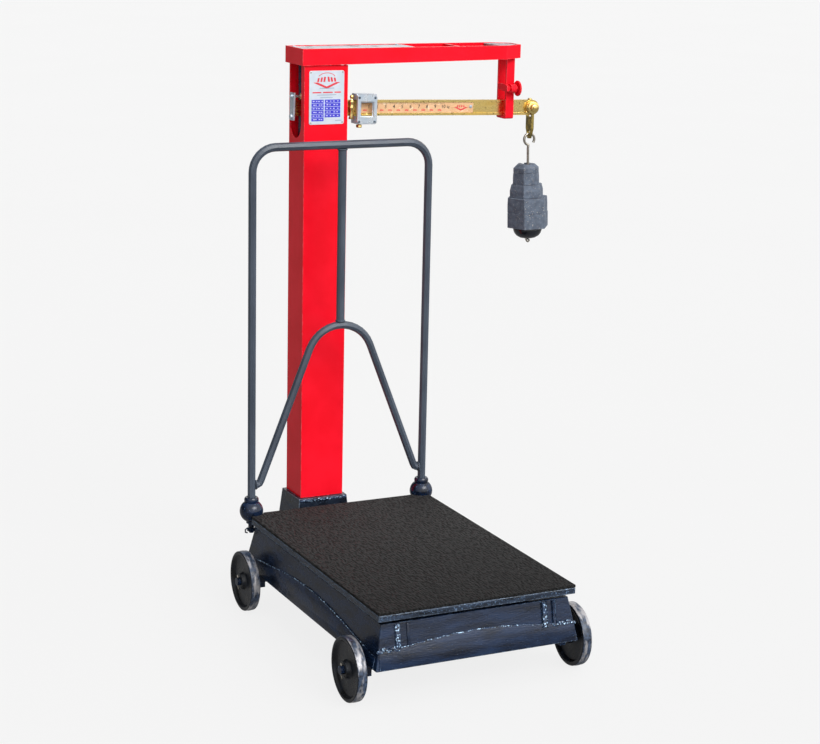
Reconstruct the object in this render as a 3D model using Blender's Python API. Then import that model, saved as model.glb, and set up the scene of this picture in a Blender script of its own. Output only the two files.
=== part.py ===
"""Portable mechanical platform scale: a wheeled base with a lever platform, a red
column with a steelyard beam, a sliding poise and a hanging stack of counterweights.

Sizes are in millimetres and are turned to metres when a mesh is made. The working
frame has X along the beam, Y towards the column, Z up, and its zero on the floor
under the middle of the platform. One empty shifts that frame so that the finished
scale stands centred on the world origin.
"""

import math

import bmesh
import bpy
from mathutils import Matrix, Vector

MM = 0.001
GAP = 0.3                 # left between pieces that touch

# ---- driving dimensions -------------------------------------------------------
FRAME_SHIFT_X = -146.5    # half way between the left axle ends and the weights
FRAME_SHIFT_Y = -91.5     # half way between the front wheels and the column foot

DECK_WIDTH = 400.0
DECK_DEPTH = 625.0
DECK_TOP = 180.0
DECK_SKIRT = 17.4         # height of the platform's edge
DECK_PLATE = 5.0
SKIRT_WALL = 7.0

BASE_TOP = 154.6
BASE_BOTTOM = 72.7
BASE_TOP_SIZE = (381.6, 604.0)
BASE_BOTTOM_SIZE = (412.2, 639.0)
BASE_WALL = 7.0

WHEEL_RADIUS = 60.55
WHEEL_INNER_X = 219.9
WHEEL_OUTER_X = 239.7
WHEEL_Y = 255.7
AXLE_RADIUS = 8.0
AXLE_HALF = 249.0
RUNNING = 0.08            # radial clearance of a wheel on its axle

COLUMN_HALF = 47.6
COLUMN_FRONT = 405.1
COLUMN_BACK = 483.7
COLUMN_WALL = 2.5
FOOT_TOP = 169.4
HEAD_BOTTOM = 1071.0
HEAD_TOP = 1104.5
HEAD_LEFT = -53.7
HEAD_RIGHT = 452.6
HEAD_FRONT = 400.1
HEAD_BACK = 491.2
HEAD_CORNER = 44.6        # length of the cut corner at the right end
HEAD_WALL = 4.0

BEAM_Y = 444.4            # middle plane of the beam, the rod and the weights
FULCRUM_X = 32.0
FULCRUM_Z = 981.0
LOAD_ARM = 32.0           # from the fulcrum knife to the load knife
BEAM_REST_TILT = math.radians(1.44)
BEAM_TOP = 16.1           # above and below the fulcrum line, square to the beam
BEAM_LOW = -16.1
BEAM_HALF_THICK = 5.5
BEAM_LEFT = -86.5         # beam's butt, along the beam from the fulcrum
TIP_REACH = 461.0         # fulcrum to the pin that carries the weights

RAIL_RADIUS = 8.5
RAIL_HALF = 191.6
RAIL_Y = 320.4
RAIL_TOP = 921.8
RAIL_BEND = 48.0

LEVER_FRONT = -235.0      # fulcrum line of the long lever
LEVER_REAR = 262.0        # fulcrum line of the short lever
LEVER_STEP = 20.0         # fulcrum line to load line on both levers
LEVER_MEET = 13.5         # where the short lever hangs from the long one


# ---- tools for making pieces --------------------------------------------------
def clear_scene():
    for thing in list(bpy.data.objects):
        bpy.data.objects.remove(thing, do_unlink=True)


def finish(name, colour, roughness, metallic=0.0):
    material = bpy.data.materials.new(name)
    material.use_nodes = True
    shader = material.node_tree.nodes["Principled BSDF"]
    shader.inputs["Base Color"].default_value = (*colour, 1.0)
    shader.inputs["Roughness"].default_value = roughness
    shader.inputs["Metallic"].default_value = metallic
    return material


def pivot(name, parent=None, at=(0, 0, 0), turn_y=0.0):
    """An empty on a joint's axis; the pieces of a moving body hang from it."""
    empty = bpy.data.objects.new(name, None)
    bpy.context.scene.collection.objects.link(empty)
    empty.parent = parent
    empty.location = Vector(at) * MM
    empty.rotation_euler = (0, turn_y, 0)
    return empty


def to_mesh(name, shape):
    bmesh.ops.scale(shape, vec=(MM, MM, MM), verts=shape.verts)
    bmesh.ops.recalc_face_normals(shape, faces=shape.faces)
    mesh = bpy.data.meshes.new(name)
    shape.to_mesh(mesh)
    shape.free()
    mesh.shade_smooth()
    mesh.set_sharp_from_angle(angle=math.radians(32))
    return mesh


def add_piece(name, shape, material, parent, at=(0, 0, 0)):
    mesh = to_mesh(name, shape)
    mesh.materials.append(material)
    piece = bpy.data.objects.new(name, mesh)
    bpy.context.scene.collection.objects.link(piece)
    piece.parent = parent
    piece.location = Vector(at) * MM
    return piece


def combine(piece, shape, operation="DIFFERENCE"):
    """Cut a shape out of a piece, or join one on; the shape is in the piece's frame."""
    name = f"{piece.name}_tool_{len(piece.modifiers)}"
    tool = bpy.data.objects.new(name, to_mesh(name, shape))
    bpy.context.scene.collection.objects.link(tool)
    tool.parent = piece.parent
    tool.location = piece.location
    tool.hide_render = True
    tool.display_type = "WIRE"
    change = piece.modifiers.new(operation.title(), "BOOLEAN")
    change.operation = operation
    change.object = tool


def block(low, high):
    """A box between two corners."""
    shape = bmesh.new()
    bmesh.ops.create_cube(shape, size=1.0)
    low, high = Vector(low), Vector(high)
    bmesh.ops.scale(shape, vec=high - low, verts=shape.verts)
    bmesh.ops.translate(shape, vec=(low + high) / 2, verts=shape.verts)
    return shape


def lofted(loops, closed=False):
    """Skin loops of equal length; the ends are capped, or joined to each other."""
    shape = bmesh.new()
    rings = [[shape.verts.new(point) for point in loop] for loop in loops]
    pairs = list(zip(rings, rings[1:]))
    if closed:
        pairs.append((rings[-1], rings[0]))
    else:
        shape.faces.new(rings[0][::-1])
        shape.faces.new(rings[-1])
    for near, far in pairs:
        for i in range(len(near)):
            j = (i + 1) % len(near)
            shape.faces.new((near[i], near[j], far[j], far[i]))
    return shape


def prism(outline, axis, low, high):
    """An outline pushed along an axis. Its pairs are (y, z), (x, z) or (x, y)."""
    place = {"X": lambda a, b, c: (c, a, b),
             "Y": lambda a, b, c: (a, c, b),
             "Z": lambda a, b, c: (a, b, c)}[axis]
    return lofted([[place(a, b, level) for a, b in outline] for level in (low, high)])


def rectangle(x0, x1, y0, y1):
    return [(x0, y0), (x1, y0), (x1, y1), (x0, y1)]


def arc(centre, radius, start, end, steps):
    """Points on a circle between two angles in degrees, both ends included."""
    angles = [math.radians(start + (end - start) * i / steps) for i in range(steps + 1)]
    return [(centre[0] + radius * math.cos(a), centre[1] + radius * math.sin(a))
            for a in angles]


def turned(profile, segments, closed=False):
    """A solid of revolution about Z from (radius, height) pairs."""
    shape = bmesh.new()
    verts = [shape.verts.new((radius, 0, height)) for radius, height in profile]
    ends = verts[1:] + verts[:1] if closed else verts[1:]
    edges = [shape.edges.new(pair) for pair in zip(verts, ends)]
    bmesh.ops.spin(shape, geom=verts + edges, cent=(0, 0, 0), axis=(0, 0, 1),
                   angle=2 * math.pi, steps=segments, use_merge=True)
    bmesh.ops.remove_doubles(shape, verts=shape.verts, dist=0.001)
    return shape


def rod(radius, low, high, segments=16):
    return turned([(0, low), (radius, low), (radius, high), (0, high)], segments)


def aimed(shape, axis, at=(0, 0, 0)):
    """Turn a shape made along Z so that it runs along X or Y, and move it."""
    turns = {"X": Matrix.Rotation(math.pi / 2, 3, "Y"),
             "Y": Matrix.Rotation(-math.pi / 2, 3, "X"),
             "Z": Matrix.Identity(3)}
    bmesh.ops.rotate(shape, cent=(0, 0, 0), matrix=turns[axis], verts=shape.verts)
    bmesh.ops.translate(shape, vec=at, verts=shape.verts)
    return shape


def bent_tube(name, points, radius, material, parent, at=(0, 0, 0), sides=2):
    """A round bar along a list of points, with flat ends."""
    path = bpy.data.curves.new(name, "CURVE")
    path.dimensions = "3D"
    path.bevel_depth = radius * MM
    path.bevel_resolution = sides
    path.use_fill_caps = True
    run = path.splines.new("POLY")
    run.points.add(len(points) - 1)
    for spot, point in zip(run.points, points):
        spot.co = (*(Vector(point) * MM), 1.0)
    path.materials.append(material)
    bar = bpy.data.objects.new(name, path)
    bpy.context.scene.collection.objects.link(bar)
    bar.parent = parent
    bar.location = Vector(at) * MM
    return bar


# ---- base, wheels and lever bearers ---------------------------------------------
def base_loop(size, inset, height):
    half_x = size[0] / 2 - inset
    half_y = size[1] / 2 - inset
    return [(x, y, height) for x, y in rectangle(-half_x, half_x, -half_y, half_y)]


def make_base_frame(parent, iron):
    """The flared cast frame, open above and below, with a way out for the lever."""
    loops = [base_loop(BASE_BOTTOM_SIZE, 0, BASE_BOTTOM),
             base_loop(BASE_TOP_SIZE, 0, BASE_TOP),
             base_loop(BASE_TOP_SIZE, BASE_WALL, BASE_TOP),
             base_loop(BASE_BOTTOM_SIZE, BASE_WALL, BASE_BOTTOM)]
    frame = add_piece("base_frame", lofted(loops, closed=True), iron, parent)
    combine(frame, block((-46, 285, 96), (46, 330, 142)))
    return frame


def make_axle_carrier(name, y, parent, iron):
    """A flat bar under the base whose turned-down ends hold an axle."""
    top = BASE_BOTTOM - GAP
    under = top - 3.5
    low = 48.0
    lug = (194.0, 206.0)
    outline = [(-lug[1], top), (-lug[1], low), (-lug[0], low), (-lug[0], under),
               (lug[0], under), (lug[0], low), (lug[1], low), (lug[1], top)]
    carrier = add_piece(name, prism(outline, "Y", -18, 18), iron, parent, (0, y, 0))
    bore = aimed(rod(AXLE_RADIUS + GAP, -220, 220), "X", (0, 0, WHEEL_RADIUS))
    combine(carrier, bore)


def make_axle(name, y, parent, steel):
    shaft = aimed(rod(AXLE_RADIUS, -AXLE_HALF, AXLE_HALF, 24), "X")
    add_piece(name, shaft, steel, parent, (0, y, WHEEL_RADIUS))


def wheel_profile():
    """Half section of the dished iron wheel: (radius, distance along the axle)."""
    bore = AXLE_RADIUS + RUNNING
    rim_in, rim_out = WHEEL_INNER_X, WHEEL_OUTER_X
    web = (rim_in + rim_out) / 2
    return [(bore, rim_in - 5.5), (17, rim_in - 5.5), (17, web - 3), (49, web - 3),
            (51.5, rim_in + 1), (WHEEL_RADIUS - 2, rim_in), (WHEEL_RADIUS, rim_in + 4),
            (WHEEL_RADIUS, rim_out - 4), (WHEEL_RADIUS - 2, rim_out), (51.5, rim_out - 1),
            (49, web + 3), (17, web + 3), (15.5, rim_out + 2.5), (bore, rim_out + 2.5)]


def make_wheel(name, side, y, parent, iron):
    shape = aimed(turned(wheel_profile(), 36, closed=True), "X")
    if side < 0:
        bmesh.ops.scale(shape, vec=(-1, 1, 1), verts=shape.verts)
    hub = pivot(f"{name}_axis", parent, (0, y, WHEEL_RADIUS))
    add_piece(name, shape, iron, hub)


def make_lever_bearer(name, y, seat, parent, iron):
    """A cross bar between the base's sides, with two notched posts for knives."""
    half, low, high = 196.6, 74.0, 84.0
    outline = [(-half, low), (half, low), (half, high)]
    for side in (1, -1):
        post_out, post_in = side * 146.0, side * 112.0
        near, far = (post_out, post_in) if side > 0 else (post_in, post_out)
        outline += [(near, high), (near, seat), (far, seat), (far, high)]
    outline.append((-half, high))
    add_piece(name, prism(outline, "Y", -13, 13), iron, parent, (0, y, 0))


# ---- platform -------------------------------------------------------------------
def platform_corner_cut(height, low):
    """The round notch that a rail socket fills at a rear corner."""
    return rod(SOCKET_BALL + GAP, low, height, 28)


SOCKET_BALL = 23.9
SOCKET_LOW = 162.4
SOCKET_NECK = 13.2
SOCKET_TOP = 213.3


def skirt_plan(half_x, half_y, length, fill):
    """A rectangle whose rear corners may be filled in to carry the rail sockets."""
    right = [(half_x, half_y - length), (half_x - fill, half_y - fill),
             (half_x - length, half_y)]
    left = [(-x, y) for x, y in reversed(right)]
    return [(-half_x, -half_y), (half_x, -half_y)] + right + left


def make_platform(parent, deck_paint, edge_paint, iron):
    half_x, half_y = DECK_WIDTH / 2, DECK_DEPTH / 2
    under = DECK_TOP - DECK_PLATE
    plate = add_piece("platform_plate", block((-half_x, -half_y, under),
                                              (half_x, half_y, DECK_TOP)),
                      deck_paint, parent)
    low = DECK_TOP - DECK_SKIRT
    outer = skirt_plan(half_x, half_y, 45, 0)
    inner = skirt_plan(half_x - SKIRT_WALL, half_y - SKIRT_WALL, 38, 19)
    top = under - GAP
    loops = [[(x, y, low) for x, y in outer], [(x, y, top) for x, y in outer],
             [(x, y, top) for x, y in inner], [(x, y, low) for x, y in inner]]
    skirt = add_piece("platform_skirt", lofted(loops, closed=True), edge_paint, parent)
    for side in (-1, 1):
        for piece in (plate, skirt):
            notch = platform_corner_cut(DECK_TOP + 5, low - 5)
            bmesh.ops.translate(notch, vec=(side * RAIL_HALF, RAIL_Y, 0),
                                verts=notch.verts)
            combine(piece, notch)
    make_platform_rib("platform_rib_front", LEVER_FRONT + LEVER_STEP, 138.0, parent, iron)
    make_platform_rib("platform_rib_rear", LEVER_REAR - LEVER_STEP, 116.0, parent, iron)


def make_platform_rib(name, y, knife, parent, iron):
    """A bar under the plate whose two legs stand on a lever's load knife."""
    half = DECK_WIDTH / 2 - SKIRT_WALL - GAP
    top = DECK_TOP - DECK_PLATE - GAP
    under = 157.0
    foot = knife + GAP
    outline = [(-half, top), (-half, under), (-140, under), (-140, foot), (-116, foot),
               (-116, under), (116, under), (116, foot), (140, foot), (140, under),
               (half, under), (half, top)]
    add_piece(name, prism(outline, "Y", -7, 7), iron, parent, (0, y, 0))


def socket_profile():
    """A ball with a neck above, bored for the rail, and a bolt and nut below."""
    ball_middle = 184.0
    ball = arc((0, ball_middle), SOCKET_BALL, -64, 52, 9)
    bore = RAIL_RADIUS + GAP
    return ([(0, 138), (5, 138), (5, 150), (10.5, 150), (10.5, SOCKET_LOW)] + ball
            + [(SOCKET_NECK, 203.6), (SOCKET_NECK + 1.4, 205), (SOCKET_NECK + 1.4, 210),
               (SOCKET_NECK, SOCKET_TOP), (bore, SOCKET_TOP), (bore, 190), (0, 190)])


def make_rail(parent, grey, iron):
    for side, word in ((-1, "left"), (1, "right")):
        add_piece(f"rail_socket_{word}", turned(socket_profile(), 28), iron, parent,
                  (side * RAIL_HALF, RAIL_Y, 0))
    foot = 190 + GAP
    corner = RAIL_HALF - RAIL_BEND
    turn_height = RAIL_TOP - RAIL_BEND
    path = [(-RAIL_HALF, foot)]
    path += arc((-corner, turn_height), RAIL_BEND, 180, 90, 8)
    path += arc((corner, turn_height), RAIL_BEND, 90, 0, 8)
    path.append((RAIL_HALF, foot))
    bent_tube("guard_rail", [(x, 0, z) for x, z in path], RAIL_RADIUS, grey, parent,
              (0, RAIL_Y, 0))
    make_rail_brace(parent, grey)


BRACE_RADIUS = 8.0
BRACE_LEAN = math.radians(22)
BRACE_APEX = 555.6
BRACE_FOOT = (177.0, 238.0)


def make_rail_brace(parent, grey):
    """An upside-down V with a round top, and the upright from it to the top bar."""
    meet = BRACE_FOOT[1] + BRACE_FOOT[0] / math.tan(BRACE_LEAN)
    bend = (meet - BRACE_APEX) / (1 / math.sin(BRACE_LEAN) - 1)
    lean = math.degrees(BRACE_LEAN)
    end = RAIL_HALF - RAIL_RADIUS - GAP
    foot_x, foot_z = BRACE_FOOT
    foot = [(foot_x - 5.6, foot_z + 8), (foot_x - 2.6, foot_z + 2.4), (foot_x + 2, foot_z),
            (end, foot_z)]
    path = [(-x, z) for x, z in reversed(foot)]
    path += arc((0, BRACE_APEX - bend), bend, 180 - lean, lean, 14) + foot
    bent_tube("rail_brace", [(x, 0, z) for x, z in path], BRACE_RADIUS, grey, parent,
              (0, RAIL_Y, 0))
    low = BRACE_APEX + BRACE_RADIUS + GAP
    high = RAIL_TOP - RAIL_RADIUS - GAP
    add_piece("rail_centre_bar", rod(RAIL_RADIUS, low, high, 12), grey, parent,
              (0, RAIL_Y, 0))


# ---- levers and draft rod ---------------------------------------------------------
def knife_edge(y, root, edge, half_length):
    """A three-cornered bar along X: flat at its root, sharp at its edge."""
    return prism([(y - 5, root), (y + 5, root), (y, edge)], "X", -half_length, half_length)


def make_long_lever(parent, iron, steel):
    """Forked lever: knives at the front, its nose far back under the column."""
    low, high = 120.0, 130.0
    start, nose = LEVER_FRONT, BEAM_Y
    outline = [(-146, start - 16), (146, start - 16), (146, start + 30), (110, start + 36),
               (12, nose - 20), (12, nose + 14), (-12, nose + 14), (-12, nose - 20),
               (-110, start + 36), (-146, start + 30)]
    lever = add_piece("long_lever", prism(outline, "Z", low, high), iron, parent)
    inner = [(-86, start + 36), (86, start + 36), (44, LEVER_MEET - 12), (-44, LEVER_MEET - 12)]
    combine(lever, prism(inner, "Z", low - 5, high + 5))
    rear = [(-38, LEVER_MEET + 12), (38, LEVER_MEET + 12), (5, nose - 90), (-5, nose - 90)]
    combine(lever, prism(rear, "Z", low - 5, high + 5))
    hole = rod(DRAFT_RADIUS + 1.5, low - 5, high + 5, 16)
    combine(lever, aimed(hole, "Z", (0, nose, 0)))
    add_piece("long_fulcrum_knife",
              knife_edge(start, low - GAP, low - 8, 140), steel, parent)
    add_piece("long_load_knife",
              knife_edge(start + LEVER_STEP, high + GAP, high + 8, 140), steel, parent)
    link = [(LEVER_MEET - 4, 90), (LEVER_MEET + 4, 90), (LEVER_MEET + 4, low - GAP),
            (LEVER_MEET - 4, low - GAP)]
    add_piece("lever_link", prism(link, "X", 16, 22), steel, parent)


def make_short_lever(parent, iron, steel):
    """Forked lever under the long one: knives at the back, its nose at the link."""
    low, high = 98.0, 108.0
    start, nose = LEVER_REAR, LEVER_MEET
    outline = [(-146, start + 16), (-146, start - 30), (-12, nose + 20), (-12, nose - 10),
               (12, nose - 10), (12, nose + 20), (146, start - 30), (146, start + 16)]
    lever = add_piece("short_lever", prism(outline, "Z", low, high), iron, parent)
    inner = [(-92, start - 34), (-6, nose + 46), (6, nose + 46), (92, start - 34)]
    combine(lever, prism(inner, "Z", low - 5, high + 5))
    add_piece("short_fulcrum_knife",
              knife_edge(start, low - GAP, low - 8, 140), steel, parent)
    add_piece("short_load_knife",
              knife_edge(start - LEVER_STEP, high + GAP, high + 8, 140), steel, parent)


DRAFT_RADIUS = 4.5
KNIFE_HOLE = 6.5          # round hole that a beam knife lies in, edge on its wall
STIRRUP_LOW = 925.0


def make_draft_rod(parent, steel):
    """The long rod in the column, with a nut under the lever's nose, and the stirrup
    that hangs it from the beam's load knife."""
    nut_top = 120.0 - GAP
    profile = [(0, 104), (DRAFT_RADIUS, 104), (DRAFT_RADIUS, 110), (10, 110),
               (10, nut_top), (DRAFT_RADIUS, nut_top), (DRAFT_RADIUS, STIRRUP_LOW - GAP),
               (0, STIRRUP_LOW - GAP)]
    add_piece("draft_rod", turned(profile, 16), steel, parent, (0, BEAM_Y, 0))
    inside, outside, top = 9.5, 13.0, 997.0
    outline = [(-outside, STIRRUP_LOW), (outside, STIRRUP_LOW), (outside, top),
               (inside, top), (inside, STIRRUP_LOW + 6), (-inside, STIRRUP_LOW + 6),
               (-inside, top), (-outside, top)]
    stirrup = add_piece("load_stirrup", prism(outline, "X", -9, 9), steel, parent,
                        (0, BEAM_Y, 0))
    knife_height = FULCRUM_Z + LOAD_ARM * math.sin(BEAM_REST_TILT)
    combine(stirrup, aimed(rod(KNIFE_HOLE, -20, 20), "Y", (0, 0, knife_height - 5.6)))


# ---- column, head and trig loop ---------------------------------------------------
def make_column_foot(parent, iron):
    """The flared hollow shoe that carries the column, with its arm to the base."""
    low = 76.0
    sizes = ((low, 63.0, 389.0, 500.0), (FOOT_TOP, 54.0, 397.0, 490.5))
    outer = [[(x, y, z) for x, y in rectangle(-half, half, front, back)]
             for z, half, front, back in sizes]
    wall = 7.0
    inner = [[(x, y, z) for x, y in
              rectangle(-half + wall, half - wall, front + wall, back - wall)]
             for z, half, front, back in sizes]
    shoe = lofted([outer[0], outer[1], inner[1], inner[0]], closed=True)
    foot = add_piece("column_foot", shoe, iron, parent)
    arm = [(-56, 150), (-56, low), (56, low), (56, 150), (49, 150), (49, low + 7),
           (-49, low + 7), (-49, 150)]
    front = BASE_BOTTOM_SIZE[1] / 2 + 0.5
    combine(foot, prism(arm, "Y", front, 393), "UNION")
    combine(foot, block((-30, 380, 100), (30, 402, 150)))


WINDOW_FRONT = 421.5
WINDOW_BACK = 479.0
WINDOW_LOW = 922.0


def make_column(parent, red, plate_silver):
    """A folded steel channel with a window in each side at the beam's height."""
    low = FOOT_TOP + GAP
    top = HEAD_BOTTOM - GAP
    wall, half = COLUMN_WALL, COLUMN_HALF
    front, back, lip = COLUMN_FRONT, COLUMN_BACK, 14.0
    outline = [(-half, back), (-half, front), (half, front), (half, back),
               (half - lip, back), (half - lip, back - wall), (half - wall, back - wall),
               (half - wall, front + wall), (-half + wall, front + wall),
               (-half + wall, back - wall), (-half + lip, back - wall), (-half + lip, back)]
    shell = add_piece("column_shell", prism(outline, "Z", low, top), red, parent)
    middle = (WINDOW_FRONT + WINDOW_BACK) / 2
    radius = (WINDOW_BACK - WINDOW_FRONT) / 2
    window = arc((middle, WINDOW_LOW + radius), radius, 180, 360, 12)
    window += [(WINDOW_BACK, top + 5), (WINDOW_FRONT, top + 5)]
    combine(shell, prism(window, "X", -half - 5, half + 5))
    cover = block((-half + 2, back + GAP, low + 4), (half - 2, back + 2, top - 4))
    add_piece("column_back_cover", cover, red, parent)
    plate = block((-37.5, front - 1.1, 952.5), (39.0, front - GAP, 1060.5))
    add_piece("nameplate", plate, plate_silver, parent)


def head_loop(inset, height_left, height_right):
    """The head's plan, six-cornered, at a height that may fall to the right."""
    left, right = HEAD_LEFT + inset, HEAD_RIGHT - inset
    front, back = HEAD_FRONT + inset, HEAD_BACK - inset
    corner = HEAD_CORNER - 0.6 * inset
    plan = [(left, front), (right - corner, front), (right, front + 22), (right, back - 22),
            (right - corner, back), (left, back)]
    reach = HEAD_RIGHT - HEAD_LEFT
    return [(x, y, height_left + (height_right - height_left) * (x - HEAD_LEFT) / reach)
            for x, y in plan]


def make_head(parent, red, silver, dull):
    """The arm over the beam: an open frame with a cover, a cross bar and an end plate."""
    rise = 5.3
    loops = [head_loop(0, HEAD_BOTTOM, HEAD_BOTTOM + rise), head_loop(0, HEAD_TOP, HEAD_TOP),
             head_loop(HEAD_WALL, HEAD_TOP, HEAD_TOP),
             head_loop(HEAD_WALL, HEAD_BOTTOM, HEAD_BOTTOM + rise)]
    frame = add_piece("head_frame", lofted(loops, closed=True), red, parent)
    inside_front, inside_back = HEAD_FRONT + HEAD_WALL, HEAD_BACK - HEAD_WALL
    bar = block((301, inside_front - 1, HEAD_TOP - 24), (306, inside_back + 1, HEAD_TOP - 1))
    combine(frame, bar, "UNION")
    seat = block((HEAD_LEFT + 2, HEAD_FRONT + 2, HEAD_BOTTOM + 0.9),
                 (60, HEAD_BACK - 2, HEAD_BOTTOM + 4))
    combine(frame, seat, "UNION")
    cover = block((HEAD_LEFT + HEAD_WALL + GAP, inside_front + GAP, HEAD_TOP - 4),
                  (203, inside_back - GAP, HEAD_TOP - 1))
    add_piece("head_cover_plate", cover, silver, parent)
    end = [(x, y) for x, y, _ in head_loop(HEAD_WALL + GAP, 0, 0)]
    end = [(398, end[0][1]), end[1], end[2], end[3], end[4], (398, end[5][1])]
    add_piece("head_end_plate", prism(end, "Z", HEAD_TOP - 4, HEAD_TOP - 1), dull, parent)


HANGER_INSIDE = 9.5
HANGER_OUTSIDE = 13.5


def make_fulcrum_hanger(parent, iron):
    """Two cheeks under the head, joined above the beam; the fulcrum knife lies in them."""
    top = HEAD_BOTTOM - GAP
    bridge = 1012.0
    outline = [(-HANGER_OUTSIDE, 962), (-HANGER_INSIDE, 962), (-HANGER_INSIDE, bridge),
               (HANGER_INSIDE, bridge), (HANGER_INSIDE, 962), (HANGER_OUTSIDE, 962),
               (HANGER_OUTSIDE, top), (-HANGER_OUTSIDE, top)]
    hanger = add_piece("fulcrum_hanger", prism(outline, "X", -11, 11), iron, parent,
                       (FULCRUM_X, BEAM_Y, 0))
    combine(hanger, aimed(rod(KNIFE_HOLE, -20, 20), "Y", (0, 0, FULCRUM_Z + 5.6)))


TRIG_LEFT = 421.9
TRIG_RIGHT = 440.8
TRIG_INNER = (429.0, 460.0)
TRIG_OUTER = (424.0, 465.0)
TRIG_FLOOR = 954.3


def make_trig_loop(parent, red):
    """A flat bar bent into a U that limits how far the beam's end can swing."""
    front, back = TRIG_OUTER
    inner_front, inner_back = TRIG_INNER
    low = TRIG_FLOOR - 6
    top = HEAD_BOTTOM + 4.4
    bend = 5.0
    outline = [(front, top)] + arc((front + bend, low + bend), bend, 180, 270, 4)
    outline += arc((back - bend, low + bend), bend, 270, 360, 4)
    outline += [(back, top), (inner_back, top), (inner_back, TRIG_FLOOR),
                (inner_front, TRIG_FLOOR), (inner_front, top)]
    add_piece("trig_loop", prism(outline, "X", TRIG_LEFT, TRIG_RIGHT), red, parent)


LOCK_Y = 413.5
LOCK_Z = 1013.5
LOCK_SHAFT = 4.0


def make_beam_lock(root, red):
    """A lug on the trig loop, and in it a shaft with a round thumb plate at one end
    and a finger at the other that swings down onto the beam."""
    outline = arc((LOCK_Y, LOCK_Z), 9.0, 90, 270, 8)
    outline += [(TRIG_OUTER[0] - GAP, LOCK_Z - 9), (TRIG_OUTER[0] - GAP, LOCK_Z + 9)]
    lug = add_piece("lock_lug", prism(outline, "X", TRIG_LEFT + 3, TRIG_RIGHT - 2), red, root)
    bore = aimed(rod(LOCK_SHAFT + 0.1, TRIG_LEFT - 5, TRIG_RIGHT + 5), "X",
                 (0, LOCK_Y, LOCK_Z))
    combine(lug, bore)
    axis = pivot("lock_axis", root, (0, LOCK_Y, LOCK_Z))
    disc = TRIG_RIGHT + 0.4
    finger = TRIG_LEFT - 1.0
    profile = [(0, finger - 1), (LOCK_SHAFT, finger - 1), (LOCK_SHAFT, disc), (15.4, disc),
               (16.4, disc + 1), (16.4, disc + 3), (15.4, disc + 4), (6, disc + 4),
               (5, disc + 6), (0, disc + 6)]
    lever = add_piece("lock_lever", aimed(turned(profile, 28), "X"), red, axis)
    arm = [(-7, -5), (8, -6), (22, -4), (36, -2), (38, 2), (36, 7), (22, 9), (4, 9), (-6, 6)]
    combine(lever, prism(arm, "X", finger - 6, finger - 0.5), "UNION")


# ---- beam and what it carries -------------------------------------------------------
RIB = 5.0
RECESS = 2.2
KNIFE_HALF = 17.5


def knife_section(edge_down, grow=0.0):
    """A pear-shaped section with one sharp edge, in (x, z) about the edge line."""
    sign = -1 if edge_down else 1
    points = [(0, 0.6 + grow), (4.6 + grow, -5), (3.4 + grow, -9.5 - grow),
              (-3.4 - grow, -9.5 - grow), (-4.6 - grow, -5)]
    return [(x, sign * z) for x, z in points]


def make_beam(arm, brass, peach, steel, zinc):
    """All in the beam's own frame: X along it, its zero on the fulcrum line."""
    half = BEAM_HALF_THICK
    web = half - RECESS
    outline = [(-half, BEAM_LOW), (half, BEAM_LOW), (half, BEAM_LOW + RIB),
               (web, BEAM_LOW + RIB), (web, BEAM_TOP - RIB), (half, BEAM_TOP - RIB),
               (half, BEAM_TOP), (-half, BEAM_TOP), (-half, BEAM_TOP - RIB),
               (-web, BEAM_TOP - RIB), (-web, BEAM_LOW + RIB), (-half, BEAM_LOW + RIB)]
    beam = add_piece("beam", prism(outline, "X", BEAM_LEFT, TIP_REACH), brass, arm)
    eye = aimed(rod(16.4, -half - 1.5, half + 1.5, 32), "Y", (TIP_REACH, 0, 0))
    combine(beam, eye, "UNION")
    combine(beam, aimed(rod(4.3, -20, 20), "Y", (TIP_REACH, 0, 0)))
    for along, down in ((0, True), (-LOAD_ARM, False)):
        slot = prism(knife_section(down, 0.3), "Y", -20, 20)
        bmesh.ops.translate(slot, vec=(along, 0, 0), verts=slot.verts)
        combine(beam, slot)
    for name, along, down in (("fulcrum_knife", 0, True), ("load_knife", -LOAD_ARM, False)):
        knife = prism(knife_section(down), "Y", -KNIFE_HALF, KNIFE_HALF)
        add_piece(name, knife, steel, arm, (along, 0, 0))
    strip = block((STRIP_LEFT, -web - 0.9, BEAM_LOW + RIB + 0.5),
                  (STRIP_RIGHT, -web - 0.2, BEAM_TOP - RIB - 0.5))
    add_piece("scale_strip", strip, peach, arm)
    make_tip_pin(arm, brass)
    make_zero_stop(arm, brass)
    make_butt(arm, zinc)


STRIP_LEFT = 50.0
STRIP_RIGHT = 321.0


def make_tip_pin(arm, brass):
    """The headed pin through the beam's eye that the shackle hangs on."""
    profile = [(0, -15.5), (5.0, -15.5), (7.0, -14), (7.0, -12.8), (4.0, -12.8), (4.0, 12.8),
               (9.0, 12.8), (9.0, 16), (7.5, 18), (4.0, 18.5), (0, 18.5)]
    pin = turned(profile, 24)
    bmesh.ops.rotate(pin, cent=(0, 0, 0), matrix=Matrix.Rotation(math.pi / 2, 3, "X"),
                     verts=pin.verts)
    add_piece("tip_pin", pin, brass, arm, (TIP_REACH, 0, 0))


def make_zero_stop(arm, brass):
    """The ornamental brass stop that the poise rests against at zero."""
    upper = [(6.5, 0), (3.6, 5), (4.5, 10), (6.5, 13), (6.5, 16.5), (2.6, 18.5)]
    upper += arc((0, 22.5), 4.6, -50, 90, 7)
    side = upper + [(-x, z) for x, z in upper[-2::-1]]
    low = BEAM_LOW - 6
    outline = side + [(-3.6, -5), (-5.5, -12), (-6.5, low), (6.5, low), (5.5, -12), (3.6, -5)]
    front = -BEAM_HALF_THICK - 0.2
    stop = prism(outline, "Y", front - 6, front)
    add_piece("zero_stop", stop, brass, arm, (ZERO_STOP_X, 0, 0))


ZERO_STOP_X = 38.4


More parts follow.
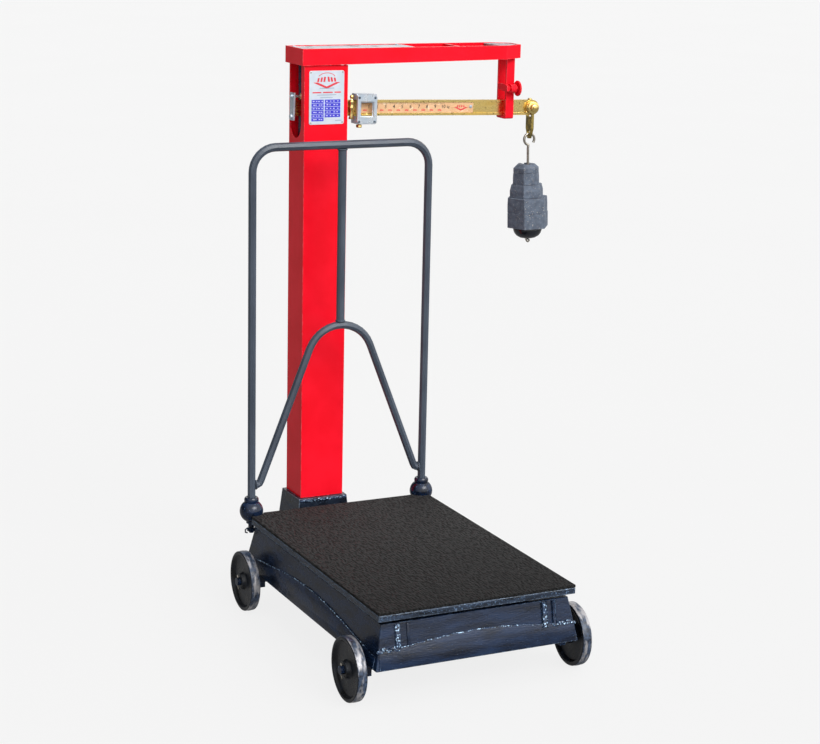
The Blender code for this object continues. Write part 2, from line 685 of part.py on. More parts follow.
def make_butt(arm, zinc):
    """The plate screwed to the beam's left end, and the balance screw and its nut."""
    left = BEAM_LEFT - GAP
    plate = block((left - 4, -10.5, -25), (left, 10.5, 31))
    butt = add_piece("butt_plate", plate, zinc, arm)
    screw_height = BEAM_TOP + 7.0
    combine(butt, aimed(rod(3.3, left - 10, left + 5), "X", (0, 0, screw_height)))
    rod_end = BEAM_LEFT + 40.0
    screw = aimed(rod(3.0, left - 8, rod_end), "X", (0, 0, screw_height))
    add_piece("balance_screw", screw, zinc, arm)


def make_balance_nut(arm, brass):
    height = BEAM_TOP + 7.0
    axis = pivot("balance_axis", arm, (BEAM_LEFT + 20, 0, height))
    nut = turned([(3.1, -5), (5.6, -5), (6.4, -4), (6.4, 4), (5.6, 5), (3.1, 5)], 20,
                 closed=True)
    add_piece("balance_nut", aimed(nut, "X"), brass, axis)


POISE_WIDTH = 45.0
POISE_LEFT = ZERO_STOP_X + 6.5 + GAP + 1.0
POISE_FRONT = -20.0       # from the beam's middle plane, towards the reader
POISE_LOW = -32.0
POISE_HIGH = 29.0


def make_poise(arm, zinc, brass):
    """The sliding weight: a sleeve round the beam with a windowed front frame."""
    slider = pivot("poise_axis", arm, (POISE_LEFT, 0, 0))
    front, wall = POISE_FRONT, 5.0
    low, high, width = POISE_LOW, POISE_HIGH, POISE_WIDTH
    corner = 5.0
    plan = [(0, low), (width, low), (width, high - corner), (width - corner, high), (0, high)]
    frame = add_piece("poise_frame", prism(plan, "Y", front, front + wall), zinc, slider)
    window = block((7, front - 5, -18), (37.5, front + 10, 13.5))
    combine(frame, window)
    gap = 0.6
    back = BEAM_HALF_THICK + gap
    start = front + wall + GAP
    sleeve = [(start, low), (back + 3, low), (back + 3, high), (start, high),
              (start, BEAM_TOP + gap), (back, BEAM_TOP + gap), (back, BEAM_LOW - gap),
              (start, BEAM_LOW - gap)]
    body = add_piece("poise_body", prism(sleeve, "X", 0, width), zinc, slider)
    combine(body, aimed(rod(3.1, low - 5, BEAM_LOW), "Z", (14, 0, 0)))
    axis = pivot("poise_screw_axis", slider, (14, 0, 0))
    profile = [(0, low - 9), (5.5, low - 9), (6, low - 8), (6, low - 2.5), (3, low - 2.5),
               (3, BEAM_LOW - 1.2), (0, BEAM_LOW - 1.2)]
    add_piece("poise_screw", turned(profile, 18), brass, axis)


# ---- shackle, hook and weights -------------------------------------------------------
RING_RADIUS = 12.2
RING_WIRE = 2.8
RING_DROP = 68.6          # pin to ring centre


def make_shackle(pin, brass):
    """A yoke over the beam's end that narrows below to a tongue with a hole."""
    inside, outside = 9.3, 12.5
    top, shelf = 9.0, -20.0
    outline = [(-outside, top), (-outside, -45), (-4, -66.5), (4, -66.5), (outside, -45),
               (outside, top), (inside, top), (inside, shelf), (-inside, shelf), (-inside, top)]
    yoke = add_piece("shackle", prism(outline, "X", -3, 3), brass, pin)
    for low, high in ((-outside, -inside), (inside, outside)):
        combine(yoke, aimed(rod(10.0, low, high, 24), "Y"), "UNION")
    combine(yoke, aimed(rod(4.3, -20, 20), "Y"))
    combine(yoke, aimed(rod(6.2, -10, 10), "X", (0, 0, -RING_DROP + RING_RADIUS + 2.5)))


STACK_LOW = 711.0
STEM_RADIUS = 3.2


HANG_LEAN = math.radians(-2.0)
STEM_OFFSET = -3.0        # the stem leaves the ring a little to the left


def make_hook(hang, steel, black, reach):
    """A ring open at its lower right, its stem, and the round foot of the stack."""
    ring = arc((0, 0), RING_RADIUS, -38, 262, 26)
    path = ring + [(STEM_OFFSET + 0.4, -RING_RADIUS - 3.0), (STEM_OFFSET, -RING_RADIUS - 8),
                   (STEM_OFFSET, STACK_LOW + GAP - reach)]
    bent_tube("weight_hook", [(x, 0, z) for x, z in path], RING_WIRE, steel, hang)
    low = STACK_LOW - reach
    profile = [(0, low), (30.5, low)] + [(30.5 * math.cos(a), low - 21 * math.sin(a)) for a in
                                         (0.15, 0.35, 0.6, 0.85, 1.1, 1.3)]
    profile += [(3.0, low - 20.9), (3.0, low - 28), (0, low - 28)]
    add_piece("weight_foot", turned(profile, 32), black, hang, (STEM_OFFSET, 0, 0))


# name, corner radius, taper at the top, thickness, how far it sits back on the stem
WEIGHTS = (("weight_1", 47.0, 1.0, 32.5, 0.0), ("weight_2", 46.5, 0.98, 32.5, 1.0),
           ("weight_3", 38.5, 0.91, 27.0, 6.0), ("weight_4", 30.5, 0.97, 25.0, 8.0),
           ("weight_5", 29.5, 0.68, 17.5, 8.0))
WEIGHT_TURN = -7.5        # the hexagons' turn, seen from above, in degrees


def weight_outline(radius, scale, depth):
    """A hexagon with a slot from beyond its middle out through one flat."""
    slot = STEM_RADIUS + 1.3
    corners = arc((0, 0), radius * scale, 120 + WEIGHT_TURN, 420 + WEIGHT_TURN, 5)
    flat = radius * scale * math.cos(math.pi / 6)
    square = math.radians(90 + WEIGHT_TURN)
    right, left = [(x, (flat - x * math.cos(square)) / math.sin(square))
                   for x in (slot, -slot)]
    bottom = arc((0, -depth), slot, 0, -180, 5)
    return corners + [right] + bottom + [left]


def make_weights(hang, iron, reach):
    level = STACK_LOW + GAP - reach
    for name, radius, taper, thick, depth in WEIGHTS:
        slide = pivot(f"{name}_axis", hang, (STEM_OFFSET, depth, 0))
        shoulder = level + thick * 0.55
        loops = [[(x, y, level) for x, y in weight_outline(radius, 1, depth)],
                 [(x, y, shoulder) for x, y in weight_outline(radius, 1, depth)],
                 [(x, y, level + thick) for x, y in weight_outline(radius, taper, depth)]]
        add_piece(name, lofted(loops), iron, slide)
        level += thick + GAP


# ---- the whole scale -------------------------------------------------------------------
def build():
    clear_scene()
    black = finish("black_enamel", (0.012, 0.013, 0.018), 0.35)
    deck_paint = finish("deck_texture_paint", (0.045, 0.045, 0.047), 0.7)
    red = finish("red_enamel", (0.80, 0.006, 0.014), 0.28)
    grey = finish("rail_paint", (0.058, 0.072, 0.095), 0.45)
    brass = finish("brass", (0.80, 0.60, 0.26), 0.3, 1.0)
    peach = finish("scale_enamel", (0.78, 0.55, 0.38), 0.4)
    zinc = finish("zinc_plate", (0.62, 0.70, 0.78), 0.3, 1.0)
    steel = finish("bright_steel", (0.55, 0.54, 0.52), 0.35, 1.0)
    cast = finish("cast_iron", (0.11, 0.12, 0.14), 0.8)
    silver = finish("cover_plate", (0.70, 0.74, 0.78), 0.25, 1.0)
    dull = finish("end_plate", (0.45, 0.40, 0.41), 0.45)

    root = pivot("scale_frame", None, (FRAME_SHIFT_X, FRAME_SHIFT_Y, 0))
    make_base_frame(root, black)
    for word, side in (("front", -1), ("rear", 1)):
        make_axle_carrier(f"axle_carrier_{word}", side * WHEEL_Y, root, black)
        make_axle(f"{word}_axle", side * WHEEL_Y, root, steel)
        make_wheel(f"wheel_{word}_left", -1, side * WHEEL_Y, root, black)
        make_wheel(f"wheel_{word}_right", 1, side * WHEEL_Y, root, black)
    make_lever_bearer("lever_bearer_front", LEVER_FRONT, 112 - GAP, root, black)
    make_lever_bearer("lever_bearer_rear", LEVER_REAR, 90 - GAP, root, black)
    make_column_foot(root, black)
    make_column(root, red, silver)
    make_head(root, red, silver, dull)
    make_fulcrum_hanger(root, black)
    make_trig_loop(root, red)
    make_beam_lock(root, red)

    deck = pivot("platform_axis", root)
    make_platform(deck, deck_paint, black, black)
    make_rail(deck, grey, black)
    make_long_lever(pivot("long_lever_axis", root), black, steel)
    make_short_lever(pivot("short_lever_axis", root), black, steel)
    make_draft_rod(pivot("draft_axis", root), black)

    arm = pivot("beam_axis", root, (FULCRUM_X, BEAM_Y, FULCRUM_Z), BEAM_REST_TILT)
    make_beam(arm, brass, peach, steel, zinc)
    make_balance_nut(arm, brass)
    make_poise(arm, zinc, brass)

    tip_x = FULCRUM_X + TIP_REACH * math.cos(BEAM_REST_TILT)
    tip_z = FULCRUM_Z - TIP_REACH * math.sin(BEAM_REST_TILT)
    make_shackle(pivot("shackle_axis", root, (tip_x, BEAM_Y, tip_z)), brass)
    ring_z = tip_z - RING_DROP
    hang = pivot("hook_axis", root, (tip_x, BEAM_Y, ring_z), HANG_LEAN)
    make_hook(hang, steel, black, ring_z)
    make_weights(hang, cast, ring_z)


build()
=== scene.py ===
import math

import bmesh
import bpy
from mathutils import Matrix, Vector


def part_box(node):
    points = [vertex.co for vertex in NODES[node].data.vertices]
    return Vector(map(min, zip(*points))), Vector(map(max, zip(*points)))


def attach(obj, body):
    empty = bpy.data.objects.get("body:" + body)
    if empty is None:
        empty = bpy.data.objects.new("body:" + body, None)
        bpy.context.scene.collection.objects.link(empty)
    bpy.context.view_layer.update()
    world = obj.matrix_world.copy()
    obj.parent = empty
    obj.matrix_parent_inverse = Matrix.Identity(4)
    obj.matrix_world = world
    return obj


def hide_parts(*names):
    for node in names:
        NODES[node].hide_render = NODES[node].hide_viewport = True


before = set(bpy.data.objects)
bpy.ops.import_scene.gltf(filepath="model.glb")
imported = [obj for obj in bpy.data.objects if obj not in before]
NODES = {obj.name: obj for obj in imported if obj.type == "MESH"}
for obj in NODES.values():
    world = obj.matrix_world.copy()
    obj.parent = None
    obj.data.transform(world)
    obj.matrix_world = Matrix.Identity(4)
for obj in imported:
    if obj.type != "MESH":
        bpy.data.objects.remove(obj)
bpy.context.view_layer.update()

# ---- base casting ----------------------------------------------------------------------
# The base is a flared frame of grey iron, cast in sand, with a raised apron along the
# foot of each wall and short cast ribs near the front corners. It was brushed with
# thick black enamel that dried glossy, with brush marks and pinholes.
MM = 0.001
# from the drawing's millimetres to metres, with the whole scale centred on the floor
STAND = Matrix.Translation((-0.1465, -0.0915, 0)) @ Matrix.Scale(MM, 4)
# sockets of a Mix node that blends two colours: its share, its two colours, its result
SHARE, FIRST, SECOND, MIXED = 0, 6, 7, 2


def linear(colour):
    """A six-figure sRGB colour as linear red, green, blue and alpha."""
    parts = [int(colour[i:i + 2], 16) / 255 for i in (0, 2, 4)]
    return [p / 12.92 if p <= 0.04045 else ((p + 0.055) / 1.055) ** 2.4
            for p in parts] + [1.0]


def add_node(tree, kind, inputs, gives=0, **settings):
    """Add one shader node with its settings, feed its inputs, and give an output."""
    made = tree.nodes.new("ShaderNode" + kind)
    for setting, value in settings.items():
        setattr(made, setting, value)
    for socket, value in inputs.items():
        if isinstance(value, bpy.types.NodeSocket):
            tree.links.new(value, made.inputs[socket])
        else:
            made.inputs[socket].default_value = value
    return made.outputs[gives]


def worn_edges(tree, where, radius, amount):
    """One along sharp edges, broken up into proud spots: rubbed paint on some finishes, a
    painted highlight on others.
    """
    rounded = add_node(tree, "Bevel", {"Radius": radius * MM}, samples=4)
    flat = add_node(tree, "NewGeometry", {}, "Normal")
    bend = add_node(tree, "VectorMath", {0: rounded, 1: flat}, "Value",
                    operation="DOT_PRODUCT")
    edge = add_node(tree, "MapRange", {"Value": bend, "From Min": 0.995, "From Max": 0.86})
    cloud = add_node(tree, "TexNoise", {"Vector": where, "Scale": 1 / (9.0 * MM),
                                        "Detail": 3.0})
    proud = add_node(tree, "MapRange", {"Value": cloud, "From Min": 0.62 - amount,
                                        "From Max": 0.66})
    return add_node(tree, "Math", {0: edge, 1: proud}, operation="MULTIPLY")


def surface(name, main, second, patch, rough, grain, depth, brushed=(1, 1, 1),
            metal=0.0, coat=0.0, shine=0.5, edge_wear_and_highlight=None, specks_and_glints=None):
    """A finish: two shades in patches of so many millimetres, a roughness that
    goes with them, grain of a size and depth, pale edges and small specks; on some
    finishes the pale edges and specks are painted highlights and glints, not wear."""
    material = bpy.data.materials.new(name)
    material.use_nodes = True
    tree = material.node_tree
    shader = tree.nodes["Principled BSDF"].inputs
    where = add_node(tree, "TexCoord", {}, "Object")
    drawn = add_node(tree, "Mapping", {"Vector": where, "Scale": brushed})
    cloud = add_node(tree, "TexNoise", {"Vector": drawn, "Scale": 1 / (patch * MM),
                                        "Detail": 5.0})
    shade = add_node(tree, "MapRange", {"Value": cloud, "From Min": 0.36, "From Max": 0.64})
    colour = add_node(tree, "Mix", {SHARE: shade, FIRST: linear(main),
                                    SECOND: linear(second)}, MIXED, data_type="RGBA")
    roughness = add_node(tree, "MapRange", {"Value": cloud, "From Min": 0.3, "From Max": 0.7,
                                            "To Min": rough[0], "To Max": rough[1]})
    lumps = add_node(tree, "TexNoise", {"Vector": drawn, "Scale": 1 / (grain * MM),
                                        "Detail": 4.0})
    # small specks: real marks on most finishes, painted glints on the black enamels and seams
    if specks_and_glints:
        speck_and_glint_colour, size, spread = specks_and_glints
        dots = add_node(tree, "TexNoise", {"Vector": where, "Scale": 1 / (size * MM),
                                           "Detail": 2.0})
        spots = add_node(tree, "MapRange", {"Value": dots, "From Min": 1 - spread,
                                            "From Max": 1.03 - spread})
        colour = add_node(tree, "Mix", {SHARE: spots, FIRST: colour,
                                        SECOND: linear(speck_and_glint_colour)}, MIXED, data_type="RGBA")
    # the pale edge colour is rubbed paint on some finishes and a painted highlight on others
    # (the red and black enamels)
    if edge_wear_and_highlight:
        edge_wear_and_highlight_colour, radius, amount = edge_wear_and_highlight
        rubbed_and_highlit = worn_edges(tree, where, radius, amount)
        colour = add_node(tree, "Mix", {SHARE: rubbed_and_highlit, FIRST: colour,
                                        SECOND: linear(edge_wear_and_highlight_colour)}, MIXED, data_type="RGBA")
    bump = add_node(tree, "Bump", {"Height": lumps, "Distance": depth * MM})
    tree.links.new(colour, shader["Base Color"])
    tree.links.new(roughness, shader["Roughness"])
    tree.links.new(bump, shader["Normal"])
    shader["Metallic"].default_value = metal
    shader["Specular IOR Level"].default_value = shine
    shader["Coat Weight"].default_value = coat
    shader["Coat Roughness"].default_value = 0.12
    return material


def dress(name, finish, width=0.0, segments=2):
    """Give a carried-over solid its finish, and round its edges a little."""
    solid = NODES[name]
    solid.data.materials.clear()
    solid.data.materials.append(finish)
    if width:
        weld = solid.modifiers.new("Joined faces", "WELD")
        weld.merge_threshold = 0.00002
        rounding = solid.modifiers.new("Rounded edges", "BEVEL")
        rounding.width = width * MM
        rounding.segments = segments
        rounding.angle_limit = math.radians(35)
        shading = solid.modifiers.new("Even shading", "WEIGHTED_NORMAL")
        shading.keep_sharp = True


def new_piece(name, shape, finish, body, place=STAND, sharp=35):
    """Turn a shape in millimetres into a piece that moves with one body."""
    bmesh.ops.remove_doubles(shape, verts=shape.verts, dist=0.0005)
    bmesh.ops.recalc_face_normals(shape, faces=shape.faces)
    bmesh.ops.transform(shape, matrix=place, verts=shape.verts)
    mesh = bpy.data.meshes.new(name)
    shape.to_mesh(mesh)
    shape.free()
    mesh.materials.append(finish)
    mesh.shade_smooth()
    mesh.set_sharp_from_angle(angle=math.radians(sharp))
    piece = bpy.data.objects.new(name, mesh)
    bpy.context.scene.collection.objects.link(piece)
    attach(piece, body)
    return piece


def plate(shape, outline, thickness):
    """Add a flat plate: an outline of points pushed along a thickness vector."""
    face = shape.faces.new([shape.verts.new(point) for point in outline])
    grown = bmesh.ops.extrude_face_region(shape, geom=[face])["geom"]
    lifted = [part for part in grown if isinstance(part, bmesh.types.BMVert)]
    bmesh.ops.translate(shape, vec=thickness, verts=lifted)


def soften(shape, width, segments=2, angle=30):
    """Bevel every edge that is sharper than an angle."""
    sharp = [edge for edge in shape.edges
             if len(edge.link_faces) == 2 and edge.calc_face_angle() > math.radians(angle)]
    bmesh.ops.bevel(shape, geom=sharp, offset=width, segments=segments, profile=0.5,
                    affect="EDGES", material=-1)


def bar(shape, low, high):
    """Add a box between two corners."""
    low, high = Vector(low), Vector(high)
    made = bmesh.ops.create_cube(shape, size=1.0)["verts"]
    bmesh.ops.scale(shape, vec=high - low, verts=made)
    bmesh.ops.translate(shape, vec=(low + high) / 2, verts=made)
    return made


# Enamel brushed thick on rough castings: a black gloss in patches of navy blue, with
# pale-blue specks and pale edges, which are painted highlights in part and scuffs in part.
# Brush marks are drawn 3 mm apart, coarser than real ones, so that they show.
ENAMEL = surface("brushed black enamel", "0B1424", "162844", 24, (0.2, 0.32), 3.2, 0.6,
                 brushed=(0.35, 0.5, 1.6), coat=0.12, shine=0.3, edge_wear_and_highlight=("7C99BC", 1.6, 0.16),
                 specks_and_glints=("4A6285", 2.0, 0.29))
dress("base_frame", ENAMEL, 2.2, 3)

WALL_FOOT = 72.7
HALF_WIDE, HALF_DEEP = 206.1, 319.5
LEAN_X, LEAN_Y = 15.3 / 81.9, 17.5 / 81.9
APRON_THICK, APRON_FOOT, APRON_CREST, APRON_STEPS = 2.2, 74.5, 121.5, 24
# which way a wall faces, its side, half size at the foot, half run, lean, apron's ends
WALLS = (("x", -1, HALF_WIDE, 306.0, LEAN_X, 97.0), ("x", 1, HALF_WIDE, 306.0, LEAN_X, 97.0),
         ("y", -1, HALF_DEEP, 199.0, LEAN_Y, 107.0))
crests = []
shape = bmesh.new()
for across, side, half, run, lean, ends in WALLS:
    steps = [-1 + 2 * i / APRON_STEPS for i in range(APRON_STEPS + 1)]
    line = [(step * run, ends + (APRON_CREST - ends) * math.cos(step * math.pi / 2) ** 1.4)
            for step in steps]
    points = []
    for along, height in [(-run, APRON_FOOT)] + line + [(run, APRON_FOOT)]:
        out = side * (half - (height - WALL_FOOT) * lean)
        points.append((out, along, height) if across == "x" else (along, out, height))
    push = Vector((side, 0, 0) if across == "x" else (0, side, 0)) * APRON_THICK
    plate(shape, points, push)
    crests.append([Vector(point) + push * 0.6 for point in points[1:-1]])
soften(shape, 1.1, 2, 50)
new_piece("base_aprons", shape, ENAMEL, "scale_stand")


def bridge_rings(shape, rings):
    """Join each ring of vertices to the next with a band of faces."""
    for near, far in zip(rings, rings[1:]):
        edges = [edge for ring in (near, far) for vert in ring for edge in vert.link_edges
                 if edge.other_vert(vert) in ring]
        bmesh.ops.bridge_loops(shape, edges=list(dict.fromkeys(edges)))


def wire(shape, points, radius, sides=10):
    """Add a round wire that follows a list of points, with flat ends."""
    points = [Vector(point) for point in points]
    rings = []
    for i, point in enumerate(points):
        ahead = points[min(i + 1, len(points) - 1)] - points[max(i - 1, 0)]
        turn = ahead.normalized().to_track_quat("Z", "Y").to_matrix().to_4x4()
        place = Matrix.Translation(point) @ turn
        made = bmesh.ops.create_circle(shape, segments=sides, radius=radius, matrix=place)
        rings.append(made["verts"])
    bridge_rings(shape, rings)
    for ring in (rings[0], rings[-1]):
        shape.faces.new(ring)


# The same enamel over weld and casting seams, which stand proud. Its pale blue flecks,
# drawn about 3 mm across so that they show, are painted glints in part and rubbed paint in
# part.
SEAM = surface("rubbed enamel on seams", "17202F", "2B405F", 7, (0.16, 0.36), 1.4, 0.7,
               coat=0.15, shine=0.4, specks_and_glints=("B4D3F0", 3.4, 0.42))
shape = bmesh.new()
for crest in crests:
    inner = crest[2:-2]
    lumpy = [point + Vector((0, 0, 0.5 * math.sin(i * 2.1))) for i, point in enumerate(inner)]
    wire(shape, lumpy, 1.3, 8)
new_piece("apron_seams", shape, SEAM, "scale_stand")


RIB_FOOT, RIB_TOP, RIB_BURIED = 108, 152, 3


def front_ribs(shape, ribs):
    """Add upright ribs against the leaning front wall, from (middle, width, proud)."""
    for middle, width, proud in ribs:
        made = bar(shape, (middle - width / 2, -RIB_BURIED, RIB_FOOT),
                   (middle + width / 2, proud, RIB_TOP))
        for vert in made:
            vert.co.y = -(HALF_DEEP - (vert.co.z - WALL_FOOT) * LEAN_Y) - vert.co.y
    soften(shape, 1.6, 3, 60)


shape = bmesh.new()
front_ribs(shape, ((-139, 6, 2.2), (158, 6, 2.2)))
new_piece("base_plain_ribs", shape, ENAMEL, "scale_stand")
shape = bmesh.new()
front_ribs(shape, ((-160, 10, 3.4), (138, 9, 3.0)))
# rough lumps of metal left where the front wall meets each corner
for side in (-1, 1):
    for i in range(5):
        blob = bmesh.ops.create_icosphere(shape, subdivisions=2, radius=4.6)["verts"]
        bmesh.ops.scale(shape, vec=(1.6, 0.7, 0.8 + 0.1 * (i % 2)), verts=blob)
        centre = (side * (196 - i * 8.5), -312.5, 107 + 3.4 * (i % 2))
        bmesh.ops.translate(shape, vec=centre, verts=blob)
new_piece("base_cast_ribs", shape, SEAM, "scale_stand")

# ---- axles and their carriers ----------------------------------------------------------
# Each axle is a steel bar through the turned-down ends of a flat carrier under the base,
# painted over with it. A split pin through each end keeps the wheel on.

# Drawn steel left bare: bright metal with fine marks from the die, dulled by handling
# and touched with small brown spots.
STEEL = surface("drawn steel, dulled", "B9B2A6", "8C8881", 14, (0.24, 0.5), 1.5, 0.05,
                brushed=(1, 1, 6), metal=1.0, specks_and_glints=("5A4B3C", 3.0, 0.3))
for name in ("axle_carrier_front", "axle_carrier_rear"):
    dress(name, ENAMEL, 1.0)
for name in ("front_axle", "rear_axle"):
    dress(name, ENAMEL, 1.2)


def turned(shape, profile, steps=48, axis="Z", at=(0, 0, 0), closed=False):
    """Add a body of revolution from (radius, height) pairs, along one axis."""
    verts = [shape.verts.new((radius, 0, height)) for radius, height in profile]
    ends = verts[1:] + verts[:1] if closed else verts[1:]
    edges = [shape.edges.new(pair) for pair in zip(verts, ends)]
    before = set(shape.verts) - set(verts)
    bmesh.ops.spin(shape, geom=verts + edges, cent=(0, 0, 0), axis=(0, 0, 1),
                   angle=math.tau, steps=steps, use_merge=True)
    made = [vert for vert in shape.verts if vert not in before]
    bmesh.ops.remove_doubles(shape, verts=made, dist=0.001)
    made = [vert for vert in shape.verts if vert not in before]
    turns = {"X": Matrix.Rotation(math.pi / 2, 3, "Y"),
             "Y": Matrix.Rotation(math.pi / 2, 3, "X"), "Z": Matrix.Identity(3)}
    bmesh.ops.rotate(shape, cent=(0, 0, 0), matrix=turns[axis], verts=made)
    bmesh.ops.translate(shape, vec=at, verts=made)


PIN_X = 245.4
WHEEL_SPOTS = {"front_left": (-1, -255.7), "front_right": (1, -255.7),
               "rear_left": (-1, 255.7), "rear_right": (1, 255.7)}
shape = bmesh.new()
for side, y in WHEEL_SPOTS.values():
    x = side * PIN_X
    wire(shape, [(x, y, 49.5), (x, y, 70.0), (x, y + 2.0, 72.2), (x, y + 4.0, 70.6),
                 (x, y + 3.6, 69.0)], 1.3, 8)
    wire(shape, [(x, y, 49.5), (x + 0.2, y - 2.0, 47.0), (x, y - 5.5, 45.2)], 1.2, 8)
new_piece("split_pins", shape, STEEL, "scale_stand")

# ---- wheels ----------------------------------------------------------------------------
# Dished cast-iron wheels, painted black all over; rolling has rubbed the tread and its
# raised middle ridge down to bright, scratched iron with blue-black paint between.


def iron_tread():
    """Paint rubbed through to bright iron in patches, scratched around the wheel."""
    material = surface("tread rubbed to bright iron", "1A2230", "3A4A62", 5, (0.25, 0.5),
                       1.2, 0.25, coat=0.1)
    tree = material.node_tree
    shader = tree.nodes["Principled BSDF"].inputs
    where = add_node(tree, "TexCoord", {}, "Object")
    along = add_node(tree, "Mapping", {"Vector": where, "Scale": (3, 1, 1)})
    rubbed_and_highlit = add_node(tree, "TexNoise", {"Vector": along, "Scale": 1 / (26.0 * MM),
                                         "Detail": 8.0})
    bare = add_node(tree, "MapRange", {"Value": rubbed_and_highlit, "From Min": 0.46, "From Max": 0.6,
                                       "To Max": 0.85})
    painted = shader["Base Color"].links[0].from_socket
    colour = add_node(tree, "Mix", {SHARE: bare, FIRST: painted, SECOND: linear("B4B2B4")},
                      MIXED, data_type="RGBA")
    metal = add_node(tree, "Math", {0: bare, 1: 0.6}, operation="MULTIPLY")
    tree.links.new(colour, shader["Base Color"])
    tree.links.new(metal, shader["Metallic"])
    return material


# Cast iron painted black: a thin uneven gloss over the grain of the sand, scuffed to
# blue-grey round the rims. The tread is the same paint worn through to bright iron.
WHEEL_IRON = surface("black painted wheel iron", "090A0D", "161C26", 16, (0.2, 0.45), 2.4,
                     0.4, coat=0.15, shine=0.3, edge_wear_and_highlight=("5E7088", 1.2, 0.18))
TREAD = iron_tread()
WHEEL_RADIUS, TREAD_FROM = 60.55, 59.2
WHEEL_SECTION = [(8.1, 214.4), (17, 214.4), (17.6, 226.2), (48.4, 226.6), (50.6, 224.5),
                 (52.2, 220.6), (57.6, 219.9), (60.0, 221.2), (60.2, 226.6), (60.55, 227.6),
                 (60.55, 231.2), (60.2, 232.2), (60.0, 238.4), (57.6, 239.7), (53.2, 239.0),
                 (51.6, 236.0), (48.4, 233.2), (18.4, 233.2), (16.2, 236.2), (15.5, 241.6),
                 (13.8, 242.2), (8.1, 242.2)]
for name, (side, y) in WHEEL_SPOTS.items():
    shape = bmesh.new()
    turned(shape, WHEEL_SECTION, 96, "X", closed=True)
    bmesh.ops.scale(shape, vec=(side, 1, 1), verts=shape.verts)
    soften(shape, 0.7, 2, 30)
    bmesh.ops.translate(shape, vec=(0, y, WHEEL_RADIUS), verts=shape.verts)
    wheel = new_piece(f"iron_wheel_{name}", shape, WHEEL_IRON, f"roller_{name}")
    wheel.data.materials.append(TREAD)
    centre = STAND @ Vector((0, y, WHEEL_RADIUS))
    for face in wheel.data.polygons:
        away = face.center - centre
        if math.hypot(away.y, away.z) > TREAD_FROM * MM:
            face.material_index = 1
    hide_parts(f"wheel_{name}")

# ---- platform --------------------------------------------------------------------------
# The deck is a steel plate in a cast edging. The plate is sprayed with matt charcoal
# texture paint that dries as a fine pebble; the edging is brushed enamel, rubbed pale.


def pebble_paint():
    """Matt paint dried in pebbles drawn out along the deck; the pits between them and the front
    of the deck are darkened as painted shade.
    """
    material = surface("charcoal texture paint", "303030", "363636", 14, (0.65, 0.85),
                       2.6, 0.2, shine=0.12)
    tree = material.node_tree
    shader = tree.nodes["Principled BSDF"].inputs
    where = add_node(tree, "TexCoord", {}, "Object")
    drawn = add_node(tree, "Mapping", {"Vector": where, "Scale": (1, 0.32, 1)})
    pebbles = add_node(tree, "TexNoise", {"Vector": drawn, "Scale": 1 / (PEBBLE * MM),
                                          "Detail": 1.0})
    ripple = add_node(tree, "MapRange", {"Value": pebbles, "From Min": 0.36,
                                         "From Max": 0.64})
    grain = shader["Normal"].links[0].from_socket
    bump = add_node(tree, "Bump", {"Height": ripple, "Distance": 2.0 * MM, "Normal": grain})
    paint = shader["Base Color"].links[0].from_socket
    # painted shade: the low parts between the pebbles are darkened towards black
    depth = add_node(tree, "MapRange", {"Value": ripple, "From Max": 0.6, "To Min": 0.8,
                                        "To Max": 0.0})
    pebbles_with_painted_pit_shade = add_node(tree, "Mix", {SHARE: depth, FIRST: paint, SECOND: linear("111111")},
                      MIXED, data_type="RGBA")
    # painted shade: the deck darkens towards its front edge
    along = add_node(tree, "SeparateXYZ", {0: where}, "Y")
    painted_front_shade = add_node(tree, "MapRange", {"Value": along, "From Min": 0.0, "From Max": -0.42,
                                       "To Max": 0.55})
    deck_with_painted_shade = add_node(tree, "Mix", {SHARE: painted_front_shade, FIRST: pebbles_with_painted_pit_shade, SECOND: linear("0C0C0D")},
                      MIXED, data_type="RGBA")
    tree.links.new(bump, shader["Normal"])
    tree.links.new(deck_with_painted_shade, shader["Base Color"])
    return material


# Texture paint sprayed on thick: matt charcoal that dries in pebbles, with painted shade in
# the pits between them. Real pebbles are 1 to 2 mm across and are drawn at 4 mm so that they
# show.
PEBBLE = 3.9
DECK_PAINT = pebble_paint()
# Enamel brushed along the cast edging: streaks run its length, and its corners and high
# spots are rubbed to pale blue-grey.
SKIRT_ENAMEL = surface("platform edge enamel", "0E1219", "273345", 18, (0.2, 0.5), 2.2,
                       0.4, brushed=(0.3, 0.3, 2.6), coat=0.12, shine=0.3,
                       edge_wear_and_highlight=("A3B8D2", 2.6, 0.34), specks_and_glints=("5F7796", 2.4, 0.38))
dress("platform_plate", DECK_PAINT, 0.8)
dress("platform_skirt", SKIRT_ENAMEL, 1.6)
for name in ("platform_rib_front", "platform_rib_rear"):
    dress(name, ENAMEL, 1.0)

# ---- rail sockets ----------------------------------------------------------------------
# Two cast balls fill the notched rear corners of the deck and take the rail's ends.
# Each is held from below by a bolt and a square nut, the left one with a bent pin.
SOCKET_X, RAIL_Y = 191.6, 320.4
BALL_RADIUS, BALL_HEIGHT = 23.9, 184
SOCKET_SECTION = [(0, 152), (6.6, 152), (6.6, 157), (10.5, 158.5), (10.5, 162.4)]
SOCKET_SECTION += [(BALL_RADIUS * math.cos(a), BALL_HEIGHT + BALL_RADIUS * math.sin(a))
                   for a in [math.radians(-64 + 116 * i / 22) for i in range(23)]]
SOCKET_SECTION += [(13.0, 203.2), (13.4, 204.4), (14.6, 205.0), (14.8, 209.4), (13.8, 211.4),
                   (12.4, 213.3), (9.2, 213.3), (8.6, 212.0), (8.6, 190), (0, 190)]
